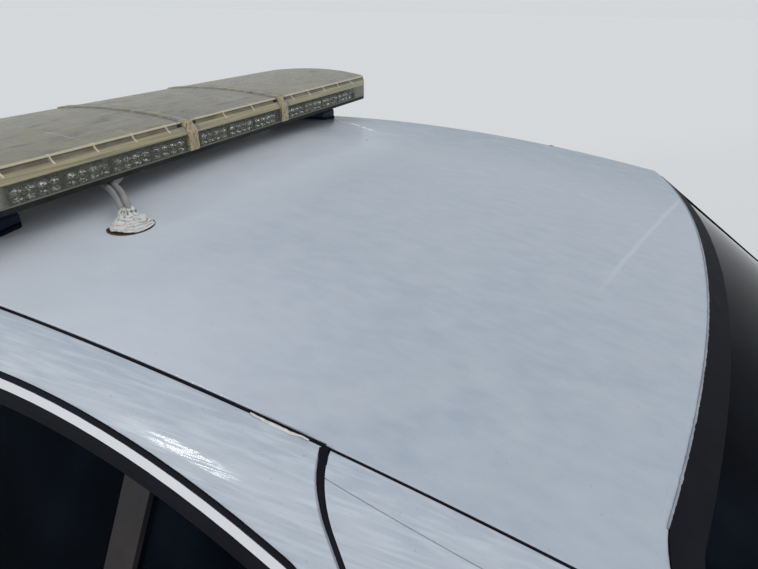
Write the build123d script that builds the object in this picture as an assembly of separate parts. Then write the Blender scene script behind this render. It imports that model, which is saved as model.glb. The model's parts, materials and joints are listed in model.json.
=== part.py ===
"""Roof section of a full-size patrol car, from its waist line up, with the roof light bar.

X points to the car's left, Y to its rear and Z up. The waist plane is Z = 0. Millimetres.
"""
import os
from math import acos, atan2, cos, degrees, hypot, radians, sin, sqrt, tan

from build123d import *

# Overall sizes of the section
ROOF_HEIGHT = 550.0
ROOF_PEAK_Y = -117.0
ROOF_LENGTH_RADIUS = 4643.0
ROOF_CENTRE_RADIUS = 7000.0
ROOF_EDGE_RADIUS = 2600.0
ROOF_CENTRE_HALF = 430.0
ROOF_FRONT_Y = -620.0
ROOF_REAR_Y = 747.0

# Side line of the roof, where the roof skin meets the doors
GAP_HALF_AT_PEAK = 630.2
GAP_SPREAD = 0.0398
WAIST_HALF = 881.0
WAIST_WIDEST_Y = 100.0
WAIST_TAPER = 45.0
WAIST_TAPER_LENGTH = 1300.0
SHOULDER_RADIUS = 63.0
SHOULDER_START_ANGLE = 9.0
SIDE_STATIONS = (-1450.0, -700.0, 0.0, 700.0, 1450.0)
FOOT_RUN = 40.0
ROOF_OVERRUN = 90.0

# Reach of the blocks that cut pieces to their outlines, past every end of the section
FAR = 4000.0
SKY = 400.0

# Glass screens at the two ends
WINDSHIELD_SLOPE = 33.27
WINDSHIELD_RADIUS = 3400.0
REAR_GLASS_SLOPE = 35.0
REAR_GLASS_RADIUS = 3550.0
SCREEN_THICK = 5.0
SCREEN_INSET = 3.0
SEAL_WIDTH = 38.0
SEAL_LIP = 1.5
SCREEN_FOOT = 26.0

# Wall build-up, measured inwards from the painted surface
PANEL_THICK = 26.0
FRAME_INNER = 62.0
ROOF_THICK = 14.0
HEADLINER_THICK = 9.0
HEADER_THICK = 24.0
HEADER_WIDTH = 80.0
SIDE_GLASS_INSET = 10.0
SIDE_GLASS_THICK = 4.0
CLEAR = 0.3
PANEL_GAP = 5.0
PILLAR_GAP = 8.0
EDGE_ROUND = 1.5
ON_SKIN = 1.2
PRISM_START_X = 400.0
BLOCK_RISE = 60.0

# Screen edges, rails and headers
WINDSHIELD_EDGE = 46.0
WINDSHIELD_CORNER = 70.0
REAR_GLASS_EDGE = 17.0
REAR_GLASS_CORNER = 90.0
SCREEN_TOP_EDGE = 14.0
GUSSET_DEPTH = 20.0
GUSSET_LENGTH = 150.0
GUSSET_INSET = FRAME_INNER - 2.0
PANE_EDGE_CLEAR = 2.0
FOOT_STRIP_THICK = 40.0
FRAME_STEP = 0.3
RAIL_DEPTH = 54.0
RAIL_REACH = 90.0
APERTURE_TOP_DROP = 98.0
STRIP_START_Y = 402.0
QUARTER_START_Y = 300.0
SEAM_START_Y, SEAM_START_DROP = 400.0, 8.0
SEAM_END_Y, SEAM_END_DROP = 900.0, 3.5
HEADLINER_DROP = 12.0
DOME_LAMP_Y = 60.0

# Window trim widths
TRIM_WIDTH = 15.0
TRIM_PROUD = 3.0
TRIM_DEPTH = 8.0
RUBBER_DEPTH = 22.0
GLASS_LAP = 6.0
RUBBER_WIDTH = 16.0
RUBBER_INSET = 2.0
APERTURE_LAP = 30.0
SEAM_GAP = 0.6
ROOF_SEAM = 2.8

# Light bar
BAR_LENGTH = 1220.0
BAR_BULGE = 20.0
BAR_REAR_Y = -138.0
BAR_DEPTH = 335.0
BAR_BOTTOM_OVER_PEAK = 31.0
BAR_BASE_HEIGHT = 8.0
BAR_FACE_HEIGHT = 30.5
BAR_LEDGE_HEIGHT = 21.5
BAR_LEDGE_SETBACK = 13.5
BAR_CROWN = 9.0
BAR_WALL = 3.0
LIP_HEIGHT = 4.0
FACE_RECESS = 1.2
LEDGE_RUN = 15.5
LEDGE_BULGE = 1.5
GROOVE_DEPTH = 2.4
BEAD_WIDTH = 3.4
BEAD_BULGE = 0.7
RIB_WIDTH = 2.2
RIB_START = 39.0
RIB_PITCH = 77.7
MIDDLE_RIBS = 2
BAR_CORNER = 42.0
BAND_X = 156.0
BAND_WIDTH = 26.0
BAND_PROUD = 2.0
FOOT_X = 500.0
FOOT_WIDTH = 64.0
FOOT_LENGTH = 190.0
FOOT_TOP_LENGTH = 150.0
FOOT_CORNER = 8.0
PAD_THICK = 6.0
PAD_EXTRA = 10.0
STRAP_WIDTH = 38.0
STRAP_THICK = 2.0
STRAP_LIFT = 2.0
HOOK_WIDTH = 20.0
HOOK_DEPTH = 8.0
BASE_INSET = 0.5
LED_LENGTH = 80.0
LED_GAP = 8.0
LED_END_SPACE = 92.0
LED_BAND_SPACE = 2.0
LED_DEPTH = 18.0
LED_HEIGHT = 22.0
LED_RAISE = 0.15
LED_BEHIND_LENS = 4.0
LED_COLUMNS = 4
LED_ROWS = 2
LED_RIM = 1.4
LED_CUP_DEPTH = 7.0
LED_CUP_TAPER = 24.0

# Cable pair from the bar into the roof
CABLE_DIAMETER = 10.0
SEAL_MOUND_X = 410.0
SEAL_MOUND_Y = -56.0
SEAL_MOUND_RADIUS = 39.0
SEAL_MOUND_HEIGHT = 24.0
SEAL_CROWN_RADIUS = 14.0
SEAL_FLANK_RADIUS = 24.2
SEAL_FLANK_HEIGHT = 10.4

# Sun visors
VISOR_LENGTH = 400.0
VISOR_DEPTH = 165.0
VISOR_THICK = 16.0
VISOR_SIDE_CLEAR = 8.0
VISOR_ROD_DIAMETER = 8.0
VISOR_ROD_CLEAR = 0.05
VISOR_ROD_REACH = 26.0
VISOR_BACK = 95.0
VISOR_DROP = 22.0
VISOR_EDGE_RADIUS = 7.2
HOLDER_WIDTH = 18.0

# Cabin lamp and mirror
DOME_LAMP_WIDTH = 150.0
DOME_LAMP_LENGTH = 90.0
DOME_LAMP_DEPTH = 18.0
MIRROR_DOWN = 105.0
MIRROR_WIDTH = 250.0
MIRROR_HEIGHT = 62.0
MIRROR_THICK = 18.0
MIRROR_CORNER = 22.0
MIRROR_BACK = 15.0
MIRROR_DROP = 12.0
STALK_WIDTH = 26.0
STALK_LENGTH = 44.0

BAR_CENTRE_Y = BAR_REAR_Y - BAR_DEPTH / 2
BAR_BOTTOM = ROOF_HEIGHT + BAR_BOTTOM_OVER_PEAK
LENS_BOTTOM = BAR_BOTTOM + BAR_BASE_HEIGHT

parts = {}


# Roof form
def crown_drop(x):
    """How far the roof's cross-section falls from its middle at a distance x."""
    x = abs(x)
    if x <= ROOF_CENTRE_HALF:
        return x * x / 2 / ROOF_CENTRE_RADIUS
    past = x - ROOF_CENTRE_HALF
    start = ROOF_CENTRE_HALF ** 2 / 2 / ROOF_CENTRE_RADIUS
    slope = ROOF_CENTRE_HALF / ROOF_CENTRE_RADIUS
    return start + slope * past + past * past / 2 / ROOF_EDGE_RADIUS


def roof_z(x, y, inset=0.0):
    """Height of the roof skin, or of a layer under it."""
    radius = ROOF_LENGTH_RADIUS - crown_drop(x) - inset
    return ROOF_HEIGHT - ROOF_LENGTH_RADIUS + sqrt(radius ** 2 - (y - ROOF_PEAK_Y) ** 2)


def roof_layer(outer, inner):
    """Band of the roof between two depths, turned about a far axis across the car."""
    middle = ROOF_HEIGHT
    half_width = GAP_HALF_AT_PEAK + ROOF_OVERRUN
    edge = crown_drop(half_width)
    knee = crown_drop(ROOF_CENTRE_HALF)
    between = (half_width + ROOF_CENTRE_HALF) / 2
    half = crown_drop(between)

    def curve(inset, sign):
        top = middle - inset
        start = (sign * ROOF_CENTRE_HALF, ROOF_PEAK_Y, top - knee)
        mid = (sign * between, ROOF_PEAK_Y, top - half)
        end = (sign * half_width, ROOF_PEAK_Y, top - edge)
        return ThreePointArc(start, mid, end)

    def centre(inset):
        top = middle - inset
        left = (ROOF_CENTRE_HALF, ROOF_PEAK_Y, top - knee)
        right = (-ROOF_CENTRE_HALF, ROOF_PEAK_Y, top - knee)
        return ThreePointArc(left, (0, ROOF_PEAK_Y, top), right)

    outline = [centre(outer), centre(inner)]
    for sign in (1, -1):
        outline += [curve(outer, sign), curve(inner, sign)]
        foot = (sign * half_width, ROOF_PEAK_Y)
        outline.append(Line((*foot, middle - outer - edge), (*foot, middle - inner - edge)))
    section = make_face(outline)
    axis = Axis((0, ROOF_PEAK_Y, ROOF_HEIGHT - ROOF_LENGTH_RADIUS), (1, 0, 0))
    swing = degrees(FAR * 0.3 / ROOF_LENGTH_RADIUS)
    return revolve(section.rotate(axis, -swing), axis, 2 * swing)


# Side form
def gap_half(y):
    return GAP_HALF_AT_PEAK + GAP_SPREAD * (y - ROOF_PEAK_Y)


def waist_half(y):
    return WAIST_HALF - WAIST_TAPER * ((y - WAIST_WIDEST_Y) / WAIST_TAPER_LENGTH) ** 2


def side_curve(y, inset):
    """Points of the side's cross-section: foot, shoulder start, shoulder middle and roof gap."""
    lean = radians(SHOULDER_START_ANGLE)
    gap = (gap_half(y), roof_z(gap_half(y), y))
    centre = (gap[0] - SHOULDER_RADIUS * sin(lean), gap[1] - SHOULDER_RADIUS * cos(lean))
    foot = (waist_half(y), 0.0)
    reach = hypot(foot[0] - centre[0], foot[1] - centre[1])
    turn = atan2(foot[1] - centre[1], foot[0] - centre[0]) + acos(SHOULDER_RADIUS / reach)
    top = radians(90.0) - lean
    radius = SHOULDER_RADIUS - inset

    def on_arc(angle):
        return (centre[0] + radius * cos(angle), centre[1] + radius * sin(angle))

    shoulder = on_arc(turn)
    foot_x = foot[0] - inset / cos(turn)
    return (foot_x, 0.0), shoulder, on_arc((turn + top) / 2), on_arc(top)


def side_x(y, z, inset=0.0):
    """Distance of the flat of the side from the middle plane."""
    foot, shoulder, _, _ = side_curve(y, inset)
    return foot[0] + (shoulder[0] - foot[0]) * z / shoulder[1]


def under_waist(curve):
    """The same points, with the foot run on below the waist plane."""
    (foot_x, foot_z), (shoulder_x, shoulder_z) = curve[:2]
    slope = (foot_x - shoulder_x) / (shoulder_z - foot_z)
    return ((foot_x + slope * FOOT_RUN, -FOOT_RUN), *curve[1:])


def above(z):
    return Pos(0, 0, z + FAR / 2) * Box(FAR, FAR, FAR)


def below(z):
    return Pos(0, 0, z - FAR / 2) * Box(FAR, FAR, FAR)


def behind(y):
    return Pos(0, y + FAR / 2, 0) * Box(FAR, FAR, FAR)


def side_section(y, outer, inner):
    """Closed cross-section of a side layer between two depths."""
    a = [(x, y, z) for x, z in under_waist(side_curve(y, outer))]
    b = [(x, y, z) for x, z in under_waist(side_curve(y, inner))]
    return make_face([
        Line(a[0], a[1]), ThreePointArc(a[1], a[2], a[3]), Line(a[3], b[3]),
        ThreePointArc(b[3], b[2], b[1]), Line(b[1], b[0]), Line(b[0], a[0]),
    ])


def side_layer(outer, inner):
    """Layer of the left side between two depths, cut flat at the waist plane."""
    return loft([side_section(y, outer, inner) for y in SIDE_STATIONS]) & above(0.0)


def inside_of_sides(inset):
    """Everything between the two side layers at a given depth, open upwards."""
    sections = []
    for y in SIDE_STATIONS:
        curve = under_waist(side_curve(y, inset))
        curve = (*curve, (curve[-1][0], ROOF_HEIGHT + SKY))
        left = [(x, y, z) for x, z in curve]
        right = [(-x, y, z) for x, z in curve]
        sections.append(make_face([
            Line(left[0], left[1]), ThreePointArc(left[1], left[2], left[3]),
            Line(left[3], left[4]), Line(left[4], right[4]), Line(right[4], right[3]),
            ThreePointArc(right[3], right[2], right[1]), Line(right[1], right[0]),
            Line(right[0], left[0]),
        ]))
    return loft(sections)


# Screens: each is part of a cylinder whose axis runs down the slope
class Screen:
    def __init__(self, edge_y, slope, radius, facing):
        angle = radians(slope)
        self.radius = radius
        self.facing = facing
        self.origin = Vector(0, edge_y, roof_z(0, edge_y))
        self.down = Vector(0, facing * cos(angle), -sin(angle))
        self.normal = Vector(0, facing * sin(angle), cos(angle))
        self.cross = Plane(origin=self.origin, x_dir=(-facing, 0, 0), z_dir=self.down)
        self.face = Plane(origin=self.origin, x_dir=(1, 0, 0), z_dir=self.normal)

    def sag(self, x):
        return self.radius - sqrt(self.radius ** 2 - x * x)

    def point(self, x, down):
        """Point of the outer surface, a distance down the slope from the roof's edge."""
        return self.origin + self.down * down - self.normal * self.sag(x) + Vector(x, 0, 0)

    def down_to_roof(self, x):
        """Where the outer surface meets the roof skin, as a distance down the slope."""
        low, high = -200.0, 200.0
        for _ in range(60):
            middle = (low + high) / 2
            p = self.point(x, middle)
            if p.Z > roof_z(x, p.Y):
                low = middle
            else:
                high = middle
        return (low + high) / 2

    def down_to_level(self, x, height):
        top = self.point(x, 0.0).Z
        return (top - height) / -self.down.Z

    def layer(self, outer, inner):
        """Band of the screen between two depths, long enough to pass the section's ends."""
        centre = (0, -self.radius)
        half = FAR / 4
        arcs = []
        for depth in (outer, inner):
            r = self.radius - depth
            spread = half / self.radius
            ends = [(sign * r * sin(spread), -self.radius + r * cos(spread)) for sign in (-1, 1)]
            arcs.append((ends[0], (0, centre[1] + r), ends[1]))
        (a, m, b), (c, n, d) = arcs
        outline = [ThreePointArc(a, m, b), Line(b, d), ThreePointArc(d, n, c), Line(c, a)]
        start = self.cross.offset(-SKY)
        return extrude(start * make_face(outline), SKY + FAR / 2)

    def prism(self, outline, up, into):
        """Block on an outline drawn on the screen: from above its face to below it."""
        return extrude(self.face.offset(-into) * outline, up + into)


windshield = Screen(ROOF_FRONT_Y, WINDSHIELD_SLOPE, WINDSHIELD_RADIUS, -1)
rear_screen = Screen(ROOF_REAR_Y, REAR_GLASS_SLOPE, REAR_GLASS_RADIUS, 1)


# Outlines with rounded corners
def rounded_outline(corners):
    """Closed face from a table of corners: x, y, corner radius."""
    count = len(corners)
    pieces = []
    starts, ends = [], []
    for i, (x, y, radius) in enumerate(corners):
        before = corners[i - 1]
        after = corners[(i + 1) % count]
        here = Vector(x, y)
        to_before = (Vector(before[0], before[1]) - here).normalized()
        to_after = (Vector(after[0], after[1]) - here).normalized()
        if radius == 0:
            starts.append(here)
            ends.append(here)
            continue
        half = radians(to_before.get_angle(to_after)) / 2
        reach = radius / tan(half)
        middle = (to_before + to_after).normalized()
        nearest = here + middle * (radius / sin(half) - radius)
        starts.append(here + to_before * reach)
        ends.append(here + to_after * reach)
        pieces.append(ThreePointArc(starts[-1], nearest, ends[-1]))
    for i in range(count):
        a, b = ends[i], starts[(i + 1) % count]
        if (b - a).length > 1e-6:
            pieces.append(Line(a, b))
    return make_face(pieces)


def side_prism(outline):
    """Block through the left side, on an outline drawn in Y and Z."""
    return extrude(Plane.YZ.offset(PRISM_START_X) * outline, FAR / 4)


def shrink(outline, amount):
    return offset(outline, amount=-amount, kind=Kind.INTERSECTION)


def both_sides(name, solid):
    parts[name + "_left"] = solid
    parts[name + "_right"] = mirror(solid, about=Plane.YZ)


# Lines on the car's side, as tables of y, z and corner radius
BELOW = -120.0
OVER_ROOF = ROOF_HEIGHT + 70.0
PILLAR_FOOT_Y = -1085.0
PILLAR_TOP_Y = -430.0
DOOR_SPLIT_FOOT_Y = -225.0
DOOR_SPLIT_TOP_Y = -190.0
FRAME_TOP_Z = ROOF_HEIGHT - 50.0
REAR_GAP_TOP_Y = 397.0
REAR_GAP_TOP_Z = ROOF_HEIGHT - 64.0
REAR_GAP_BEND_Y = 444.0
REAR_GAP_BEND_Z = ROOF_HEIGHT - 133.0
REAR_GAP_FOOT_Y = 625.0
REAR_GAP_RUN_ON = 60.0


def slant(y0, z0, y1, z1, z):
    return y0 + (y1 - y0) * (z - z0) / (z1 - z0)


def pillar_y(z, back=0.0):
    return slant(PILLAR_FOOT_Y, 0, PILLAR_TOP_Y, FRAME_TOP_Z, z) + back


def split_y(z, back=0.0):
    return slant(DOOR_SPLIT_FOOT_Y, 0, DOOR_SPLIT_TOP_Y, FRAME_TOP_Z, z) + back


def rear_gap_y(z, back=0.0):
    return slant(REAR_GAP_FOOT_Y, 0, REAR_GAP_BEND_Y, REAR_GAP_BEND_Z, z) + back


half_gap = PANEL_GAP / 2
FRONT_DOOR = [
    (pillar_y(BELOW, PANEL_GAP), BELOW, 0),
    (pillar_y(OVER_ROOF, PANEL_GAP), OVER_ROOF, 0),
    (split_y(OVER_ROOF, -half_gap), OVER_ROOF, 0),
    (split_y(BELOW, -half_gap), BELOW, 0),
]
REAR_DOOR = [
    (split_y(BELOW, half_gap), BELOW, 0),
    (split_y(OVER_ROOF, half_gap), OVER_ROOF, 0),
    (REAR_GAP_TOP_Y - REAR_GAP_RUN_ON, OVER_ROOF, 0),
    (REAR_GAP_TOP_Y, REAR_GAP_TOP_Z, 0),
    (REAR_GAP_BEND_Y, REAR_GAP_BEND_Z, 0),
    (rear_gap_y(BELOW), BELOW, 0),
]
WINDOW_TOP_Z = ROOF_HEIGHT - 78.5
PILLAR_FACE = 72.0
SPLIT_FACE = 42.0
REAR_GAP_FACE = 33.0
FRONT_WINDOW = [
    (pillar_y(BELOW, PILLAR_FACE), BELOW, 0),
    (pillar_y(WINDOW_TOP_Z, PILLAR_FACE), WINDOW_TOP_Z, 260.0),
    (split_y(WINDOW_TOP_Z, -SPLIT_FACE), WINDOW_TOP_Z, 24.0),
    (split_y(BELOW, -SPLIT_FACE), BELOW, 0),
]
WINDOW_DROP_Y = 198.0
WINDOW_CORNER_Y = 419.4
WINDOW_CORNER_Z = ROOF_HEIGHT - 152.4
REAR_WINDOW = [
    (split_y(BELOW, SPLIT_FACE), BELOW, 0),
    (split_y(WINDOW_TOP_Z, SPLIT_FACE), WINDOW_TOP_Z, 24.0),
    (WINDOW_DROP_Y, WINDOW_TOP_Z, 1150.0),
    (WINDOW_CORNER_Y, WINDOW_CORNER_Z, 60.0),
    (rear_gap_y(BELOW, -REAR_GAP_FACE), BELOW, 0),
]
DIVISION_TOP_Y = 223.0
DIVISION_TOP_Z = ROOF_HEIGHT - 135.0
DIVISION_LOW_Y = 211.0
DIVISION_LOW_Z = ROOF_HEIGHT - 228.0
DIVISION_WIDTH = 34.0


def division_y(z):
    return slant(DIVISION_LOW_Y, DIVISION_LOW_Z, DIVISION_TOP_Y, DIVISION_TOP_Z, z)


DIVISION_BAR = [
    (division_y(BELOW) - DIVISION_WIDTH / 2, BELOW, 0),
    (division_y(OVER_ROOF) - DIVISION_WIDTH / 2, OVER_ROOF, 0),
    (division_y(OVER_ROOF) + DIVISION_WIDTH / 2, OVER_ROOF, 0),
    (division_y(BELOW) + DIVISION_WIDTH / 2, BELOW, 0),
]

# Layers of the side wall
painted = side_layer(0, PANEL_THICK)
frame_layer = side_layer(PANEL_THICK + FRAME_STEP, FRAME_INNER)
pillar_layer = side_layer(0, FRAME_INNER)
trim_layer = side_layer(-TRIM_PROUD, TRIM_DEPTH)
rubber_layer = side_layer(RUBBER_INSET, RUBBER_DEPTH)
glass_layer = side_layer(SIDE_GLASS_INSET, SIDE_GLASS_INSET + SIDE_GLASS_THICK)

doors = {"front": rounded_outline(FRONT_DOOR), "rear": rounded_outline(REAR_DOOR)}
windows = {"front": rounded_outline(FRONT_WINDOW), "rear": rounded_outline(REAR_WINDOW)}
bar_outline = rounded_outline(DIVISION_BAR)


def round_gap_edge(solid):
    """Rounds the long edges that a painted piece has on the roof skin beside the roof gap."""
    def beside_gap(edge):
        points = [edge @ 0.0, edge @ 0.5, edge @ 1.0]
        near_skin = all(abs(p.Z - roof_z(p.X, p.Y)) < ON_SKIN for p in points)
        return near_skin and all(abs(p.X) > gap_half(p.Y) - 2 * PANEL_GAP for p in points)

    edges = [edge for edge in solid.edges() if edge.length > FRAME_INNER and beside_gap(edge)]
    return fillet(edges, EDGE_ROUND)


def make_doors():
    """Door tops: painted frame, bright trim, rubber, glass and the rear door's division bar."""
    trims, rubbers = [], []
    for place, opening in windows.items():
        frame = (painted & side_prism(doors[place])) - side_prism(opening)
        both_sides(place + "_door_frame", round_gap_edge(frame))
        trim_inner = shrink(opening, TRIM_WIDTH)
        sight = shrink(trim_inner, RUBBER_WIDTH)
        trims.append(trim_layer & (side_prism(shrink(opening, CLEAR)) - side_prism(trim_inner)))
        rubber = rubber_layer & (side_prism(shrink(trim_inner, CLEAR)) - side_prism(sight))
        groove = side_prism(shrink(sight, -GLASS_LAP - CLEAR))
        slot = side_layer(SIDE_GLASS_INSET - CLEAR, SIDE_GLASS_INSET + SIDE_GLASS_THICK + CLEAR)
        rubber = rubber - (slot & groove)
        glass = glass_layer & side_prism(shrink(sight, -GLASS_LAP))
        if place == "rear":
            bar = rubber_layer & side_prism(bar_outline) & side_prism(shrink(sight, CLEAR))
            glass = glass - side_prism(shrink(bar_outline, -CLEAR))
            both_sides("division_bar", bar)
        rubbers.append(rubber)
        both_sides(place + "_door_glass", glass)
    both_sides("window_trim", trims[0] + trims[1])
    both_sides("window_rubber", rubbers[0] + rubbers[1])


# Screens, their seals and the seats that they lie in
def screen_limit(screen, down, inset):
    """Half-width of a screen where it meets the side at a given depth."""
    low, high = 0.0, WAIST_HALF + ROOF_OVERRUN
    for _ in range(60):
        middle = (low + high) / 2
        p = screen.point(middle, down)
        if middle < side_x(p.Y, max(p.Z, 0.0), inset):
            low = middle
        else:
            high = middle
    return (low + high) / 2


def screen_outline(screen, inset, corner):
    """Outline of a screen: its top edge follows the roof, its sides follow the pillars."""
    top_x = gap_half(screen.origin.Y) - SCREEN_TOP_EDGE
    top_down = screen.down_to_roof(top_x)
    low_down = screen.down_to_level(GAP_HALF_AT_PEAK, 0.0)
    low_x = screen_limit(screen, low_down, inset)
    far_down = screen.down_to_level(0.0, 0.0) + 60.0
    far_x = top_x + (low_x - top_x) * (far_down - top_down) / (low_down - top_down)
    side = screen.facing
    start, end = (-top_x, side * top_down), (top_x, side * top_down)
    right, left = (far_x, side * far_down), (-far_x, side * far_down)
    top = ThreePointArc(start, (0, side * screen.down_to_roof(0)), end)
    face = make_face([top, Line(end, right), Line(right, left), Line(left, start)])
    tops = [v for v in face.vertices() if abs(v.Y - side * top_down) < 1.0]
    return fillet(tops, corner)


def screen_block(screen, outline):
    """Block on an outline, from over the screen down past its greatest sag."""
    return screen.prism(outline, BLOCK_RISE, BLOCK_RISE + screen.sag(WAIST_HALF))


def over_screen(screen, depth):
    """Everything outside a screen's face, down to a depth under it."""
    return screen.layer(-SKY, depth)


def over_roof(depth):
    """Everything over the roof, down to a depth under its skin."""
    return roof_layer(-SKY, depth)


seal_depth = SCREEN_INSET + SCREEN_THICK + CLEAR
rail_depth = ROOF_THICK + CLEAR
screens = {
    "windshield": (windshield, screen_outline(windshield, WINDSHIELD_EDGE, WINDSHIELD_CORNER)),
    "rear_glass": (rear_screen, screen_outline(rear_screen, REAR_GLASS_EDGE, REAR_GLASS_CORNER)),
}
foot_slab = above(0.0) & below(SCREEN_FOOT)
seats = [
    screen.layer(-BLOCK_RISE, seal_depth) & screen_block(screen, shrink(edge, -CLEAR))
    for screen, edge in screens.values()
]
outside = [over_screen(screen, 0.0) for screen, _ in screens.values()]
outside_glass = [over_screen(screen, seal_depth) for screen, _ in screens.values()]


def cut_by(solid, tools):
    for tool in tools:
        solid = solid - tool
    return solid


def make_screens():
    for name, (screen, edge) in screens.items():
        pane_layer = screen.layer(SCREEN_INSET, SCREEN_INSET + SCREEN_THICK)
        pane = pane_layer & screen_block(screen, shrink(edge, PANE_EDGE_CLEAR))
        parts[name] = pane & above(SCREEN_FOOT)
        ring = screen_block(screen, edge) - screen_block(screen, shrink(edge, SEAL_WIDTH))
        seal = screen.layer(-SEAL_LIP, SCREEN_INSET - CLEAR) & ring
        parts[name + "_seal"] = seal & above(SCREEN_FOOT)


def make_screen_feet():
    """Cowl strip under the windshield and shelf edge under the rear glass."""
    for name, (screen, _) in zip(("cowl_strip", "shelf_edge"), screens.values()):
        strip = screen.layer(-SEAL_LIP, FOOT_STRIP_THICK) & foot_slab
        strip = strip & inside_of_sides(FRAME_INNER + CLEAR)
        parts[name] = strip & below(SCREEN_FOOT - CLEAR)


# Painted pillars and panels round the doors
def ahead_of_doors(clear):
    return side_prism(rounded_outline([
        (-FAR / 2, BELOW, 0), (-FAR / 2, OVER_ROOF, 0),
        (pillar_y(OVER_ROOF, clear), OVER_ROOF, 0), (pillar_y(BELOW, clear), BELOW, 0),
    ]))


def over_seam(gap):
    """Block over the seam between the narrow roof strip and the rear pillar panel."""
    y0, y1 = SEAM_START_Y, SEAM_END_Y
    z0 = roof_z(gap_half(y0), y0) - SEAM_START_DROP + gap
    z1 = roof_z(gap_half(y1), y1) - SEAM_END_DROP + gap
    return side_prism(rounded_outline([
        (y0, z0, 0), (y0, OVER_ROOF, 0), (y1, OVER_ROOF, 0), (y1, z1, 0),
    ]))


def corner_gusset(screen, inset):
    """Painted corner between a screen's rounded corner, the roof's edge and the pillar."""
    top_x = gap_half(screen.origin.Y)
    at = (top_x, screen.facing * screen.down_to_roof(top_x))
    block = screen.face * Pos(*at) * Box(4 * RAIL_REACH, 2 * GUSSET_LENGTH, SKY)
    plate = screen.layer(0.0, GUSSET_DEPTH) & block & inside_of_sides(inset)
    return cut_by(plate, [over_roof(rail_depth), plan_band(RAIL_REACH)] + seats)


def make_pillars():
    pillar = pillar_layer & ahead_of_doors(0.0)
    pillar = cut_by(pillar, outside + seats) + corner_gusset(windshield, GUSSET_INSET)
    both_sides("windshield_pillar", round_gap_edge(pillar))
    quarter = painted & behind(QUARTER_START_Y)
    quarter = quarter - side_prism(shrink(doors["rear"], -PILLAR_GAP))
    quarter = cut_by(quarter, outside + seats)
    both_sides("roof_side_strip", round_gap_edge(quarter & over_seam(SEAM_GAP / 2)))
    both_sides("rear_pillar_panel", quarter - over_seam(-SEAM_GAP / 2))


# Roof, headliner, rails and headers
def plan_band(reach, front=-FAR / 4, rear=FAR / 4):
    """Block between the two roof gaps, drawn in by a distance from each."""
    left = [(gap_half(front) - reach, front, 0), (gap_half(rear) - reach, rear, 0)]
    right = [(-x, y, r) for x, y, r in reversed(left)]
    return extrude(rounded_outline(left + right), ROOF_HEIGHT + SKY)


rail_layer = roof_layer(rail_depth, RAIL_DEPTH)
lining_depth = rail_depth + HEADLINER_DROP + HEADLINER_THICK


def make_roof():
    skin = roof_layer(0, ROOF_THICK)
    roof = (skin & plan_band(PANEL_GAP)) + (skin & plan_band(ROOF_SEAM, STRIP_START_Y))
    parts["roof_panel"] = round_gap_edge(cut_by(roof, outside + seats))


def make_side_frames():
    """Inner frame of each side: roof rail, middle pillar and inner rear pillar in one piece."""
    rail = rail_layer & (plan_band(PANEL_GAP) - plan_band(RAIL_REACH))
    rail = rail & Pos(FAR / 2, 0, 0) * Box(FAR, FAR, FAR)
    rail = rail & inside_of_sides(PANEL_THICK + FRAME_STEP)
    frame = frame_layer + rail
    head = below(ROOF_HEIGHT - APERTURE_TOP_DROP)
    apertures = [side_prism(shrink(door, APERTURE_LAP)) & head for door in doors.values()]
    frame = cut_by(frame, [ahead_of_doors(CLEAR)] + apertures + outside_glass)
    frame = frame + corner_gusset(rear_screen, PANEL_THICK + CLEAR)
    both_sides("side_frame", frame)


def make_headers():
    """Cross members under the roof's ends, which the screens' top edges lie on."""
    for name, (screen, _) in screens.items():
        deep = screen.layer(seal_depth, seal_depth + HEADER_THICK)
        reach = screen.facing * (HEADER_WIDTH + FAR / 2)
        lower = screen.face * Pos(0, reach) * Box(FAR, FAR, FAR)
        header = (deep & plan_band(RAIL_REACH + CLEAR)) - lower - over_roof(rail_depth)
        parts[name + "_header"] = header


def make_headliner():
    lining = roof_layer(lining_depth - HEADLINER_THICK, lining_depth)
    lining = lining & plan_band(RAIL_REACH + CLEAR)
    depth = seal_depth + HEADER_THICK + CLEAR
    ends = [over_screen(screen, depth) for screen, _ in screens.values()]
    parts["headliner"] = cut_by(lining, ends)


# Light bar
def bar_outline_across(grow):
    """Plain cross-section of the bar in Y and Z, grown or shrunk by a distance."""
    half = BAR_DEPTH / 2 + grow
    shoulder = half - BAR_LEDGE_SETBACK
    low, knee = LENS_BOTTOM, LENS_BOTTOM + BAR_FACE_HEIGHT + grow / 2
    top = LENS_BOTTOM + BAR_FACE_HEIGHT + BAR_LEDGE_HEIGHT + grow
    y = BAR_CENTRE_Y
    crest = ThreePointArc((y + shoulder, top), (y, top + BAR_CROWN), (y - shoulder, top))
    return make_face([
        crest, Line((y - shoulder, top), (y - half, knee)), Line((y - half, knee), (y - half, low)),
        Line((y - half, low), (y + half, low)), Line((y + half, low), (y + half, knee)),
        Line((y + half, knee), (y + shoulder, top)),
    ])


def slope_point(along, out=0.0):
    """Place on the slope over the lens face: along it from its foot, and out from it."""
    rise = atan2(BAR_LEDGE_HEIGHT, BAR_LEDGE_SETBACK)
    y = BAR_DEPTH / 2 - along * cos(rise) + out * sin(rise)
    z = LENS_BOTTOM + BAR_FACE_HEIGHT + along * sin(rise) + out * cos(rise)
    return y, z


def groove_run():
    """Where the groove over the ledge starts and ends along the slope."""
    return LEDGE_RUN, hypot(BAR_LEDGE_HEIGHT, BAR_LEDGE_SETBACK) - BEAD_WIDTH


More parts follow.
